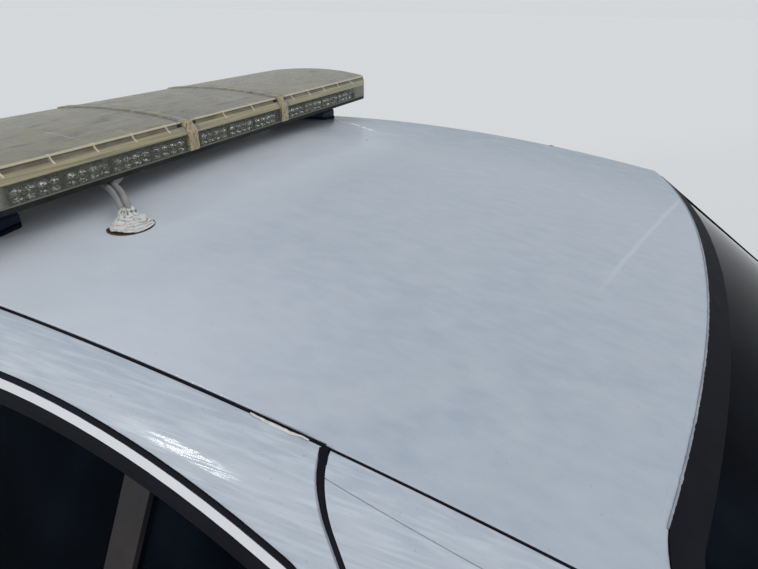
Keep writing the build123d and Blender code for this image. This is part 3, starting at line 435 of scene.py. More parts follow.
def rust_row(share):
    """Points from the inner to the outer edge, some share of the way round."""
    angle = RUST_FROM + RUST_SWEEP * share
    swell = math.sin(math.pi * share ** 0.62) ** 0.8
    ragged = 1 + RUST_RAGGED * wobble((angle * 3, 0, 0), 0.35, 4.0)
    inner = MOUND_RADIUS * RUST_INNER
    outer = MOUND_RADIUS + RUST_WIDEST * swell * ragged * (1.0 - RUST_THINNING * share)
    row = []
    for k in range(RUST_BELTS + 1):
        x, y = from_mound(angle, inner + (outer - inner) * k / RUST_BELTS)
        lift = RUST_LIFT * (1 - (k / RUST_BELTS) ** 4)
        row.append(Vector((x, y, roof_height(x, y) + lift + RUST_EDGE_LIFT)))
    return row


def make_rust_and_shadow():
    points = [p for i in range(RUST_STEPS + 1) for p in rust_row(i / RUST_STEPS)]
    count = RUST_BELTS + 1
    faces = [(i * count + k, i * count + k + 1, (i + 1) * count + k + 1, (i + 1) * count + k)
             for i in range(RUST_STEPS) for k in range(RUST_BELTS)]
    return make_piece("mound_rust_and_shadow", points, faces, "roof_sealant")


rust_and_shadow = make_rust_and_shadow()
print("rust crescent", len(rust_and_shadow.data.polygons), "faces")

# %% [markdown]
# ## Where the lamps sit
# Behind the clear face sit eleven lamp blocks at the rear of the bar and eleven at its front,
# every one with two rows of four pockets. The blocks are in the frame already. Their steps
# are even, so the middle of each pocket is counted off instead of being found on the mesh.

# %% Lamp pockets
BLOCK_STEP = 0.088
END_BLOCKS_FROM = 0.2125
BLOCK_LENGTH = 0.080
BLOCK_HEIGHT = 0.022
BLOCK_MIDDLE_Z = 0.60015
POCKET_COLUMNS = 4
POCKET_ROWS = 2


def block_middles():
    """Three blocks behind the middle lens and four behind each end lens."""
    right_end = [END_BLOCKS_FROM + BLOCK_STEP * i for i in range(4)]
    return [-x for x in reversed(right_end)] + [-BLOCK_STEP, 0.0, BLOCK_STEP] + right_end


def pocket_places():
    """Middle of each pocket: across the car and up."""
    places = []
    for middle in block_middles():
        for column in range(POCKET_COLUMNS):
            for row in range(POCKET_ROWS):
                x = middle + (column - (POCKET_COLUMNS - 1) / 2) * BLOCK_LENGTH / POCKET_COLUMNS
                z = BLOCK_MIDDLE_Z + (row - (POCKET_ROWS - 1) / 2) * BLOCK_HEIGHT / POCKET_ROWS
                places.append((x, z))
    return places


print("pockets on each side", len(pocket_places()))

# %% [markdown]
# ## Lamp bowls and domes
# Each pocket holds a bright bowl round a small domed lamp, which is what glitters. A bowl is
# an ellipse that shrinks as it goes deeper and a dome is half a ball, so a few rings of
# points give either. All bowls of one side become one mesh, as they would be one moulding.

# %% Lamp bowls and domes
BAR_MIDDLE_Y = -0.3055
BLOCK_FACE_REACH = 0.1605
BOWL_HALF = (0.0088, 0.0044)
BOWL_DEPTH = 0.0062
BOWL_SINK = 0.0003
BOWL_FLOOR = 0.96
BOWL_STEPS, BOWL_POINTS = 5, 18
DOME_RADIUS = 0.0016
DOME_RAISE = 0.0006
DOME_TIP = 0.00005
DOME_STEPS, DOME_POINTS = 4, 12


def bowl_points(x, z, facing):
    """Rings from the mouth of a bowl down to its floor."""
    rings = []
    for step in range(BOWL_STEPS + 1):
        share = step / BOWL_STEPS
        width = math.sqrt(1 - share * BOWL_FLOOR)
        y = BAR_MIDDLE_Y + facing * (BLOCK_FACE_REACH - BOWL_SINK - BOWL_DEPTH * share)
        rings.append([Vector((x + BOWL_HALF[0] * width * math.cos(a), y,
                              z + BOWL_HALF[1] * width * math.sin(a)))
                      for a in circle(BOWL_POINTS)])
    return rings


def dome_points(x, z, facing):
    """Rings of the small domed lamp that stands on a bowl's floor."""
    floor_reach = BLOCK_FACE_REACH - BOWL_SINK - BOWL_DEPTH + DOME_RAISE
    rings = []
    for step in range(DOME_STEPS + 1):
        tilt = math.pi / 2 * step / DOME_STEPS
        radius = max(DOME_RADIUS * math.cos(tilt), DOME_TIP)
        y = BAR_MIDDLE_Y + facing * (floor_reach + DOME_RADIUS * math.sin(tilt))
        rings.append([Vector((x + radius * math.cos(a), y, z + radius * math.sin(a)))
                      for a in circle(DOME_POINTS)])
    return rings


for side, facing in (("rear", 1), ("front", -1)):
    bowls = gather([bowl_points(x, z, facing) for x, z in pocket_places()], False)
    make_piece("lamp_bowls_" + side, *bowls, "lamp_reflector")
    domes = gather([dome_points(x, z, facing) for x, z in pocket_places()], True)
    make_piece("lamp_domes_" + side, *domes, "lamp_cover")
    print("bowls and domes", side)

# %% [markdown]
# ## Clips beside the joint bands
# A lens section is held at each joint by a spring clip that sits in the groove over the
# ledge. From outside it is a small dark block with a rounded top, one at each side of each
# band, front and rear. It is a short rounded bar, skinned over rings that swell and shrink,
# and not a plain block.

# %% Bar clips
SLOPE_FOOT = (0.1675, 0.6195)
SLOPE_RISE = math.atan2(0.0215, 0.0135)
GROOVE_MIDDLE = 0.0188
CLIP_SIZE = (0.009, 0.0046, 0.0032)
CLIP_SINK = 0.0012
CLIP_POINTS = 16
CLIP_SQUARENESS = 0.55
# share of the clip's length, swell of its section there
CLIP_SWELL = ((0, 0.55), (0.12, 0.9), (0.3, 1.0), (0.7, 1.0), (0.88, 0.9), (1, 0.55))
JOINT_AT, CLIP_BESIDE = 0.156, 0.0195
CLIP_MIDDLES = [hand * JOINT_AT + beside for hand in (-1, 1)
                for beside in (-CLIP_BESIDE, CLIP_BESIDE)]


def slope_place(along, out):
    """Place on the slope over the lamp face: reach from the bar's middle plane, and height."""
    reach = SLOPE_FOOT[0] - along * math.cos(SLOPE_RISE) + out * math.sin(SLOPE_RISE)
    height = SLOPE_FOOT[1] + along * math.sin(SLOPE_RISE) + out * math.cos(SLOPE_RISE)
    return reach, height


def clip_rings(middle, facing):
    """Rings of a bar with a rounded square section, that lies across the slope."""
    long, wide, high = CLIP_SIZE
    rings = []
    for share, swell in CLIP_SWELL:
        x = middle + (share - 0.5) * long
        ring = []
        for turn in circle(CLIP_POINTS):
            across, up = math.cos(turn), math.sin(turn)
            square = 1 / max(abs(across), abs(up)) ** CLIP_SQUARENESS
            along = GROOVE_MIDDLE + wide / 2 * across * square * swell
            out = high / 2 * up * square * swell - CLIP_SINK
            reach, height = slope_place(along, out)
            ring.append(Vector((x, BAR_MIDDLE_Y + facing * reach, height)))
        rings.append(ring)
    return rings


for side, facing in (("rear", 1), ("front", -1)):
    clips = gather([clip_rings(x, facing) for x in CLIP_MIDDLES], True)
    make_piece("bar_clips_" + side, *clips, "dark_plastic")
print("clips", 2 * len(CLIP_MIDDLES))

# %% [markdown]
# ## Cable guard under the bar
# A thin pale plastic fin hangs from the underside of the bar just behind the cables. It is a
# flat plate with a slanted edge, so its outline is drawn once and given a thickness, and a
# bevel keeps its edges from looking cut with a knife.

# %% Cable guard
GUARD_OUTLINE = (
    # across, height
    (0.338, 0.5815), (0.294, 0.5815), (0.303, 0.575),
    (0.316, 0.566), (0.326, 0.563), (0.333, 0.572),
)
GUARD_Y = -0.164
GUARD_THICK = 0.0018
GUARD_BEVEL = 0.0005
guard_faces = [[Vector((x, y, z)) for x, z in GUARD_OUTLINE]
               for y in (GUARD_Y, GUARD_Y + GUARD_THICK)]
guard = make_piece("cable_guard", *skin_rings(guard_faces), "cable_sheath", smooth=False)
soften = guard.modifiers.new("soften", "BEVEL")
soften.width = GUARD_BEVEL
soften.segments = 2
print("guard reaches down to", min(z for _, z in GUARD_OUTLINE))

# %% [markdown]
# ## Rubber in the gaps
# The gap between roof and doors isn't empty: a black rubber strip lies a few millimetres down
# in it, and a wider one fills the upright gap in front of the rear pillar. A strip that is
# swept along the gap line gives the deep even black that an open slot never shows.

# %% Gap strips
RUBBER_PLAY = 0.0003
DOME_SHARES = (-1, -0.5, 0, 0.5, 1)
STRIP_DOWN = 0.0016
STRIP_THICK = 0.004
STRIP_DOME = 0.0006
STRIP_STEPS = 90
ROOF_STRIP_ENDS = (-0.545, 0.640)


def strip_section(centre, side, up, half, dome, thick):
    """Section of a flat strip with a slightly domed top."""
    top = [centre + side * half * s + up * dome * (1 - s * s) for s in DOME_SHARES]
    return top + [centre + side * half * s - up * thick for s in (1, -1)]


def roof_strip(hand):
    side, up = Vector((hand, 0, 0)), Vector((0, 0, 1))
    half = GAP_WIDTH / 2 - RUBBER_PLAY
    start, end = ROOF_STRIP_ENDS
    rings = []
    for i in range(STRIP_STEPS + 1):
        y = start + (end - start) * i / STRIP_STEPS
        x = gap_line(y) - GAP_WIDTH / 2
        centre = Vector((hand * x, y, roof_height(x, y) - STRIP_DOWN))
        rings.append(strip_section(centre, side, up, half, STRIP_DOME, STRIP_THICK))
    return skin_rings(rings)


for side, hand in (("left", 1), ("right", -1)):
    make_piece("roof_gap_rubber_" + side, *roof_strip(hand), "black_rubber")
print("gap rubber from", ROOF_STRIP_ENDS)

# %% [markdown]
# ## The side wall in numbers
# The side of the car is a straight, leaning wall that turns over into the roof with a round
# shoulder. Given how far back and how high a point is, the formula gives how far out it lies,
# and which way the wall faces there. The upright gap's rubber and the window lip use it.

# %% Side wall formulas
WAIST_HALF = 0.881
WAIST_WIDEST = 0.100
WAIST_TAPER = 0.045
WAIST_TAPER_LENGTH = 1.300
SHOULDER_RADIUS = 0.063
SHOULDER_LEAN = math.radians(9.0)


def side_form(y):
    """Foot and start of the shoulder, middle of its arc, and the wall's turn, at one y."""
    top = Vector((gap_line(y), roof_height(gap_line(y), y)))
    centre = top - SHOULDER_RADIUS * Vector((math.sin(SHOULDER_LEAN), math.cos(SHOULDER_LEAN)))
    foot = Vector((WAIST_HALF - WAIST_TAPER * ((y - WAIST_WIDEST) / WAIST_TAPER_LENGTH) ** 2, 0))
    away = foot - centre
    turn = math.atan2(away.y, away.x) + math.acos(SHOULDER_RADIUS / away.length)
    shoulder = centre + SHOULDER_RADIUS * Vector((math.cos(turn), math.sin(turn)))
    return foot, shoulder, centre, turn


def on_side(y, z, down=0.0):
    """Point of the left wall, some way under its skin, and the direction that it faces."""
    foot, shoulder, centre, turn = side_form(y)
    if z < shoulder.y:
        x = foot.x + (shoulder.x - foot.x) * z / shoulder.y
    else:
        turn = math.asin(min(1.0, (z - centre.y) / SHOULDER_RADIUS))
        x = centre.x + SHOULDER_RADIUS * math.cos(turn)
    facing = Vector((math.cos(turn), 0, math.sin(turn)))
    return Vector((x, y, z)) - facing * down, facing


print("wall at the waist", [round(v, 3) for v in on_side(0.4, 0.0)[0]])

# %% [markdown]
# ## Rubber in the upright gap
# Behind the rear door the gap is wider, and the rubber in it runs from the waist up to the
# roof gap, where it ends in a thick wedge. The line is drawn once as four points on the side,
# walked in small steps, and the strip is laid on it square to the walk.

# %% Upright gap rubber
UPRIGHT_LINE = (
    # along, height
    (0.6295, 0.003), (0.4488, 0.418), (0.4060, 0.4815), (0.4015, 0.4845),
)
UPRIGHT_STEP, FEWEST_STEPS = 0.006, 3
UPRIGHT_WIDTH = 0.008
UPRIGHT_THICK = 0.006
UPRIGHT_DOME = 0.0008
UPRIGHT_DOWN = 0.0022
WEDGE_FROM, WEDGE_TO = 0.462, 0.4845
WEDGE_RISE = 0.0026
WEDGE_SWELL = 0.0006


def walk_upright():
    """The line in small steps."""
    line = []
    for (y0, z0), (y1, z1) in zip(UPRIGHT_LINE, UPRIGHT_LINE[1:]):
        steps = max(FEWEST_STEPS, round(math.hypot(y1 - y0, z1 - z0) / UPRIGHT_STEP))
        line += [(y0 + (y1 - y0) * i / steps, z0 + (z1 - z0) * i / steps) for i in range(steps)]
    return line + [UPRIGHT_LINE[-1]]


def upright_strip(hand):
    line = walk_upright()
    rings = []
    for i, (y, z) in enumerate(line):
        before, after = line[max(0, i - 2)], line[min(len(line) - 1, i + 2)]
        walk = on_side(*after)[0] - on_side(*before)[0]
        wedge = max(0.0, (z - WEDGE_FROM) / (WEDGE_TO - WEDGE_FROM))
        centre, facing = on_side(y, z, UPRIGHT_DOWN - WEDGE_RISE * wedge)
        across = facing.cross(walk).normalized()
        half = UPRIGHT_WIDTH / 2 - RUBBER_PLAY + WEDGE_SWELL * wedge
        ring = strip_section(centre, across, facing, half, UPRIGHT_DOME, UPRIGHT_THICK)
        rings.append([Vector((hand * p.x, p.y, p.z)) for p in ring])
    return skin_rings(rings)


for side, hand in (("left", 1), ("right", -1)):
    make_piece("upright_gap_rubber_" + side, *upright_strip(hand), "black_rubber")
print("upright rubber top", UPRIGHT_LINE[-1])

# %% [markdown]
# ## Walls of the window trim
# Black lips run beside the bright window trim on both its edges. Drawing the same arc again
# would never quite match it, so they are grown from the trim's own narrow walls. A wall is
# known by the way it faces: hardly sideways, and away from the middle of its window or
# towards it. Walls that are copied and moved need belts along the edges that lie open.

# %% Trim walls
WALL_TURN = 0.15
WAIST_CUT = 0.002
WINDOW_MIDDLES = ((-0.55, 0.16), (0.06, 0.20))


def trim_walls(form, which):
    """The trim's walls that look away from its window's middle, or towards it."""
    sign = 1 if which == "outer" else -1
    walls = []
    for face in form.faces:
        middle = face.calc_center_median()
        y, z = min(WINDOW_MIDDLES, key=lambda m: abs(m[0] - middle.y))
        away = Vector((0, middle.y - y, middle.z - z))
        upright = abs(face.normal.x) < WALL_TURN and middle.z > WAIST_CUT
        if upright and sign * face.normal.dot(away) > 0:
            walls.append(face)
    return walls


def join_walls(walls, order):
    """Faces of the walls, of their pushed copies, and of the belts that join the two."""
    count = len(order)
    faces = [tuple(order[vert] for vert in face.verts) for face in walls]
    faces += [tuple(i + count for i in face) for face in faces]
    chosen = set(walls)
    for edge in {edge for face in walls for edge in face.edges}:
        if sum(face in chosen for face in edge.link_faces) == 1:
            one, other = (order[vert] for vert in edge.verts)
            faces.append((one, other, other + count, one + count))
    return faces


print("walls belong to", len(WINDOW_MIDDLES), "windows at each side")

# %% [markdown]
# ## Lips beside the window trim
# A black lip seals the bright trim against the door, and another laps over its inner edge.
# The outer or inner walls are copied and pushed along their own normals by the lip's width.
# The outer lip ends a little under the trim's face. The inner one ends a little over it and
# covers its edge.

# %% Window lips
LIPS = {
    # which walls: width, lap over the trim's face, height over that face
    "outer": (0.0046, 0.0, -0.0010),
    "inner": (-0.0048, 0.0044, 0.0004),
}
TRIM_FACE = 0.003
LIP_ROOT = 0.004
SAME_POINT = 1e-5
FACE_BAND = 0.002


def grow_lip(side, hand, which):
    width, lap, over = LIPS[which]
    form = bmesh.new()
    form.from_mesh(nodes["window_trim_" + side].data)
    bmesh.ops.remove_doubles(form, verts=form.verts, dist=SAME_POINT)
    walls, pushes = trim_walls(form, which), {}
    for face in walls:
        for vert in face.verts:
            pushes[vert] = pushes.get(vert, Vector()) + face.normal
    near = [vert.co + push.normalized() * lap for vert, push in pushes.items()]
    far = [vert.co + push.normalized() * width for vert, push in pushes.items()]
    faces = join_walls(walls, {vert: i for i, vert in enumerate(pushes)})
    form.free()
    points = []
    for point in near + far:
        place, facing = on_side(point.y, point.z)
        at_face = hand * point.x - place.x > -FACE_BAND
        level = TRIM_FACE + over if at_face else -LIP_ROOT
        points.append(Vector((hand * (place.x + level / facing.x), point.y, point.z)))
    name = "window_lip_" + which + "_" + side
    return make_piece(name, points, faces, "black_rubber", smooth=False)


for side, hand in (("left", 1), ("right", -1)):
    for which in LIPS:
        lip = grow_lip(side, hand, which)
        print(lip.name, len(lip.data.polygons), "faces")

# %% [markdown]
# ## Loose flake of sealant
# Near the corner of the rear door a strip of pale sealant has come out of the roof gap and
# lies on the rubber, curled at its ends. It is one thin ribbon whose height and width change
# along its length.

# %% Seal flake
FLAKE_ENDS = (0.322, 0.3865)
FLAKE_PAST_GAP = 0.0014
FLAKE_HALF, FLAKE_THIN = 0.0018, 0.0006
FLAKE_END_SHARE = 0.25
FLAKE_LIFT, FLAKE_CURL = 0.0002, 0.0018
FLAKE_STEPS, FLAKE_POINTS = 44, 10
ROOF_FALL = 0.12
# how much the ribbon wanders, widens and waves, and over what length
WANDER, WANDER_SIZE = 0.0008, 0.012
WIDEN, WIDEN_SIZE = 0.3, 0.006
WAVE, WAVE_SIZE = 0.0006, 0.007


def flake_rings():
    start, end = FLAKE_ENDS
    rings = []
    for i in range(FLAKE_STEPS + 1):
        share = i / FLAKE_STEPS
        y = start + (end - start) * share
        x = gap_line(y) + FLAKE_PAST_GAP + WANDER * wobble((y, 0, 0), WANDER_SIZE, 2.0)
        swell = math.sin(math.pi * share) ** 0.6
        half = FLAKE_HALF * (FLAKE_END_SHARE + (1 - FLAKE_END_SHARE) * swell)
        half *= 1 + WIDEN * wobble((y, 0, 0), WIDEN_SIZE, 8.0)
        curl = FLAKE_CURL * (2 * share - 1) ** 2 + WAVE * wobble((y, 0, 0), WAVE_SIZE, 5.0)
        centre = Vector((x, y, roof_height(x, y) + FLAKE_LIFT + curl))
        side = Vector((1, 0, -ROOF_FALL)) * half
        up = Vector((ROOF_FALL, 0, 1)) * FLAKE_THIN
        rings.append([centre + side * math.cos(a) + up * math.sin(a)
                      for a in circle(FLAKE_POINTS)])
    return rings


make_piece("seal_flake", *skin_rings(flake_rings()), "roof_sealant")
print("flake from", FLAKE_ENDS)

# %% [markdown]
# ## Sealant along the roof's rear edge
# Between the roof and the black rim of the rear glass runs a thin bead of sealant, pressed in
# by hand and now ragged and dirty. It follows the curve in which the roof meets the slope of
# the glass, which is worked out from the same two shapes.

# %% Rear edge bead
REAR_EDGE_Y = 0.747
REAR_SLOPE = math.radians(35.0)
REAR_RADIUS = 3.55
SLOPE_DOWN = Vector((0, math.cos(REAR_SLOPE), -math.sin(REAR_SLOPE)))
SLOPE_OUT = Vector((0, math.sin(REAR_SLOPE), math.cos(REAR_SLOPE)))
SLOPE_START = Vector((0, REAR_EDGE_Y, roof_height(0, REAR_EDGE_Y)))
CORNER_IN = 0.014
SEARCH_REACH, SEARCH_STEPS = 0.2, 40
BEAD_REACH = 0.585
BEAD_HALF, BEAD_RISE, BEAD_LIFT = 0.0014, 0.0011, 0.0006
BEAD_STEPS, BEAD_POINTS = 420, 8
# how far the bead's width strays, over what length, and which noise
BEAD_STRAYS = ((0.0008, 0.010, 3.0), (0.0005, 0.003, 6.0))


def on_rear_slope(x, down, out=0.0):
    """Place on the curved slope of the rear glass, some way down it and out of it."""
    sag = REAR_RADIUS - math.sqrt(REAR_RADIUS ** 2 - x * x)
    return SLOPE_START + SLOPE_DOWN * down + SLOPE_OUT * (out - sag) + Vector((x, 0, 0))


def down_to_roof(x):
    """Distance down the slope at which it comes out of the roof's skin."""
    low, high = -SEARCH_REACH, SEARCH_REACH
    for _ in range(SEARCH_STEPS):
        middle = (low + high) / 2
        place = on_rear_slope(x, middle)
        if place.z > roof_height(x, place.y):
            low = middle
        else:
            high = middle
    return (low + high) / 2


def bead_rings():
    """Rings across the roof; the edge falls away with the square of the distance from middle."""
    corner = gap_line(REAR_EDGE_Y) - CORNER_IN
    fall = down_to_roof(corner)
    rings = []
    for i in range(BEAD_STEPS + 1):
        x = -BEAD_REACH + 2 * BEAD_REACH * i / BEAD_STEPS
        down = fall * (x / corner) ** 2
        stray = sum(much * wobble((x, 0, 0), size, seed) for much, size, seed in BEAD_STRAYS)
        half, rise = BEAD_HALF + stray, BEAD_RISE + stray / 2
        rings.append([on_rear_slope(x, down + half * math.cos(a), BEAD_LIFT + rise * math.sin(a))
                      for a in circle(BEAD_POINTS)])
    return rings


edge_bead = make_piece("rear_edge_sealant", *skin_rings(bead_rings()), "roof_sealant")
print("bead reaches", BEAD_REACH, "to each side")

# %% [markdown]
# ## Tools for materials
# A material and a sky are both trees of nodes, and most of a tree is the same few moves: make
# a node, wire or set its inputs, stretch a value, blend two colours. Each move gets a short
# helper, so that a finish reads as a list of what is on the surface.

# %% Node helpers
def add(tree, kind, inputs, **settings):
    """New node; an input that is another node's output is wired, any other is set."""
    made = tree.nodes.new("ShaderNode" + kind)
    for name, value in settings.items():
        setattr(made, name, value)
    for name, value in inputs.items():
        if isinstance(value, bpy.types.NodeSocket):
            tree.links.new(value, made.inputs[name])
        else:
            made.inputs[name].default_value = value
    return made


def combine(tree, first, second, how="ADD"):
    return add(tree, "Math", {0: first, 1: second}, operation=how).outputs[0]


def limit(tree, value, low, high, to_low=0.0, to_high=1.0):
    """Stretches the part of a value between low and high over a new range, and clips it."""
    inputs = {"Value": value, "From Min": low, "From Max": high}
    inputs.update({"To Min": to_low, "To Max": to_high})
    return add(tree, "MapRange", inputs).outputs["Result"]


def band(tree, value, low, high, soft):
    """1 between low and high, falling to 0 over a soft edge outside."""
    up = limit(tree, value, low - soft, low)
    down = limit(tree, value, high, high + soft, 1.0, 0.0)
    return combine(tree, up, down, "MULTIPLY")


def tint(tree, share, first, second):
    """Goes from the first colour to the second by a share from 0 to 1."""
    inputs = {0: share, 6: first, 7: second}
    return add(tree, "Mix", inputs, data_type="RGBA").outputs[2]


print("node helpers ready")

# %% [markdown]
# ## Floor
# The section stands on a plain pale floor, wide enough that its edge is never seen from near.
# It is matt, so it throws soft light back on the undersides and mirrors nothing.

# %% Floor
FLOOR_HALF = 40.0
FLOOR_COLOUR = (0.70, 0.69, 0.67, 1)
FLOOR_ROUGH, FLOOR_SHINE = 0.9, 0.1
scene = bpy.context.scene
scene.view_settings.view_transform = "Standard"


def start_finish(name, **values):
    """New material whose main shader has these plain values; underscores stand for spaces."""
    made = bpy.data.materials.new(name)
    made.use_nodes = True
    shader = made.node_tree.nodes["Principled BSDF"]
    for socket, value in values.items():
        shader.inputs[socket.replace("_", " ")].default_value = value
    return made, made.node_tree, shader


def lay_floor():
    mesh = bpy.data.meshes.new("floor")
    signs = ((-1, -1), (1, -1), (1, 1), (-1, 1))
    corners = [(x * FLOOR_HALF, y * FLOOR_HALF, 0) for x, y in signs]
    mesh.from_pydata(corners, [], [(0, 1, 2, 3)])
    mesh.materials.append(start_finish(
        "floor_finish", Base_Color=FLOOR_COLOUR, Roughness=FLOOR_ROUGH,
        Specular_IOR_Level=FLOOR_SHINE)[0])
    floor = bpy.data.objects.new("floor", mesh)
    scene.collection.objects.link(floor)
    return floor


floor = lay_floor()
print("floor laid")

# %% [markdown]
# ## Sky
# The sky is pale and a little bluer overhead, as on an open day, and gives nearly all of the
# light. The camera, and what glass and metal mirror, see a plainer sky than the one that
# lights the car, so the background can be set without changing how bright the paint is.

# %% Sky
SKY_OVERHEAD = (0.84, 0.89, 0.96, 1)
SKY_LOW = (0.90, 0.90, 0.89, 1)
SKY_SEEN = (0.658, 0.680, 0.701, 1)
OVERHEAD_FROM = 0.7
SKY_STRENGTH = 0.96


def make_sky():
    """One sky lights the car; rays from the camera, mirrored or let through see a plain one."""
    world = bpy.data.worlds.new("sky")
    scene.world = world
    world.use_nodes = True
    tree = world.node_tree
    tree.nodes.clear()
    direction = add(tree, "TexCoord", {}).outputs["Generated"]
    height = add(tree, "SeparateXYZ", {0: direction}).outputs["Z"]
    colour = tint(tree, limit(tree, height, 0.0, OVERHEAD_FROM), SKY_LOW, SKY_OVERHEAD)
    ray = add(tree, "LightPath", {}).outputs
    mirrored = combine(tree, ray["Is Glossy Ray"], ray["Is Transmission Ray"], "MAXIMUM")
    looking = combine(tree, ray["Is Camera Ray"], mirrored, "MAXIMUM")
    lighting = add(tree, "Background", {"Color": colour, "Strength": SKY_STRENGTH})
    seen = add(tree, "Background", {"Color": SKY_SEEN})
    choose = add(tree, "MixShader", {0: looking, 1: lighting.outputs[0], 2: seen.outputs[0]})
    add(tree, "OutputWorld", {"Surface": choose.outputs[0]})


make_sky()
print("sky strength", SKY_STRENGTH)

# %% [markdown]
# ## Suns
# One low, wide sun from the front left draws the broken glint on the shoulder of the rear
# door, and a very broad glow from behind keeps the bar's shadow off the roof. A sun lamp is
# right for both, because it has a direction and a width in the sky but no place.

# %% Suns
SUNS = {
    # towards it, strength, width
    "low_sun": ((0.83, -0.54, 0.11), 0.90, math.radians(9.0)),
    "broad_glow": ((0.20, 0.75, 0.62), 0.55, math.radians(60.0)),
}


def hang_sun(name, towards, strength, width):
    lamp = bpy.data.lights.new(name, "SUN")
    lamp.energy = strength
    lamp.angle = width
    holder = bpy.data.objects.new(name, lamp)
    holder.rotation_mode = "QUATERNION"
    holder.rotation_quaternion = Vector(towards).to_track_quat("Z", "Y")
    scene.collection.objects.link(holder)


for name, sun in SUNS.items():
    hang_sun(name, *sun)
print("suns", list(SUNS))

# %% [markdown]
# ## Patterns in metres
# What varies over a surface, such as dust, grain or streaks, comes from noise that is laid out
# in metres on the car, so a grain of two millimetres is written as such. A stretch under 1
# draws the blotches out along that axis. Noise stays mostly between 0.3 and 0.7, so the two
# numbers that limit it say where a mark starts and where it is full: the higher they are,
# the rarer the mark. Fine relief, too small to model, is a bump.

# %% Patterns
def place_on_car(tree):
    return add(tree, "TexCoord", {}).outputs["Object"]


def coordinate(tree, axis):
    """One coordinate of the place on the car, in metres."""
    return add(tree, "SeparateXYZ", {0: place_on_car(tree)}).outputs["XYZ".index(axis)]


def from_middle(tree):
    """Distance from the middle of the car, to either side."""
    return add(tree, "Math", {0: coordinate(tree, "X")}, operation="ABSOLUTE").outputs[0]


def cloud(tree, size, detail, stretch=(1, 1, 1), rough=0.5):
    """Soft noise from 0 to 1 whose blotches are about size metres across."""
    grid = add(tree, "Mapping", {"Vector": place_on_car(tree), "Scale": stretch})
    inputs = {"Vector": grid.outputs[0], "Scale": 1 / size, "Detail": detail, "Roughness": rough}
    return add(tree, "TexNoise", inputs).outputs["Fac"]


def cracks(tree, size, stretch):
    """Distance to the nearest edge of a mosaic of cells about size metres across."""
    grid = add(tree, "Mapping", {"Vector": place_on_car(tree), "Scale": stretch})
    inputs = {"Vector": grid.outputs[0], "Scale": 1 / size}
    return add(tree, "TexVoronoi", inputs, feature="DISTANCE_TO_EDGE").outputs["Distance"]


def raise_by(tree, height, depth, under=None):
    """Bump that lifts the surface by up to depth metres where height is 1."""
    inputs = {"Height": height, "Strength": 1.0, "Distance": depth}
    if under is not None:
        inputs["Normal"] = under
    return add(tree, "Bump", inputs).outputs["Normal"]


def wire(tree, source, shader, socket):
    tree.links.new(source, shader.inputs[socket])


print("patterns ready")

# %% [markdown]
# ## Painted light on the roof
# The roof isn't one white. Its colour is painted paler beside the bar, a painted light that
# takes out the bar's shadow, and along the left edge, a painted highlight. Its far side is
# painted colder and darker, a painted reflection of dark surroundings. Each is a colour laid
# over the paint, strong at one line on the car and gone at another.

# %% Roof painted light
PAINT_PAINTED_LIGHT = (0.56, 0.585, 0.62, 1)
PAINT_PAINTED_REFLECTION = (0.24, 0.30, 0.36, 1)
# where each painted light starts and ends, and its share at its strongest
BAR_FADE, BAR_SHARE = (-0.12, 0.14), 0.95
LEFT_FADE, LEFT_SHARE = (0.34, 0.62), 0.55
LEFT_STOPS = (0.15, 0.45)
FAR_FADE = (-0.60, -0.20)


def roof_painted_light(tree, colour):
    """Painted light: paler by the bar and the left edge, a colder painted reflection on the far
    side.
    """
    x, y = coordinate(tree, "X"), coordinate(tree, "Y")
    near_bar = limit(tree, y, *BAR_FADE, BAR_SHARE, 0.0)
    near_left = limit(tree, x, *LEFT_FADE, 0.0, LEFT_SHARE)
    near_left = combine(tree, near_left, limit(tree, y, *LEFT_STOPS, 1.0, 0.0), "MULTIPLY")
    colour = tint(tree, combine(tree, near_bar, near_left, "MAXIMUM"), colour, PAINT_PAINTED_LIGHT)
    return tint(tree, limit(tree, x, *FAR_FADE, 1.0, 0.0), colour, PAINT_PAINTED_REFLECTION)


print("roof shades ready")

# %% [markdown]
# ## Marks on the roof
# Three marks lie on the roof: a faint pale line near its rear edge, pale strokes near the bar's
# far foot, and a dark speck. Each has its own place on the car, which no noise would give, so
# its mask is worked out in metres: the distance from a straight line, or from a point.

# %% Roof marks
PAINT_THREAD = (0.46, 0.50, 0.54, 1)
STROKE_COLOUR = (0.72, 0.75, 0.78, 1)
ROOF_SPECK_COLOUR = (0.03, 0.035, 0.04, 1)
# straight marks: the way across the line, its distance from the car's middle, how far it
# wavers, half its width, its soft edge
CREASE_LINE = ((0.2063, 0.9785, 0), 0.6358, 0.004, 0.002, 0.003)
STROKE_LINE = ((0.813, -0.582, 0), -0.297, 0.02, 0.004, 0.004)
WAVER_LENGTH = 0.08
CREASE_ENDS, CREASE_FADE, CREASE_SHARE = (-0.27, 0.12), 0.14, 0.6
STROKE_ENDS, STROKE_FADE = (-0.17, -0.02), 0.03
STROKE_GRAIN = 0.018
SPECK_AT = (-0.2471, 0.0284, 0.5433)
SPECK_INNER, SPECK_OUTER, SPECK_SHARE = 0.0025, 0.0045, 0.9


def along_line(tree, facing, away, waver, half, soft):
    """1 on a straight mark that wavers a little, 0 beside it."""
    dot = add(tree, "VectorMath", {0: place_on_car(tree), 1: facing}, operation="DOT_PRODUCT")
    bent = combine(tree, cloud(tree, WAVER_LENGTH, 2.0), waver, "MULTIPLY")
    moved = combine(tree, dot.outputs["Value"], bent)
    return band(tree, combine(tree, moved, away + waver / 2, "SUBTRACT"), -half, half, soft)


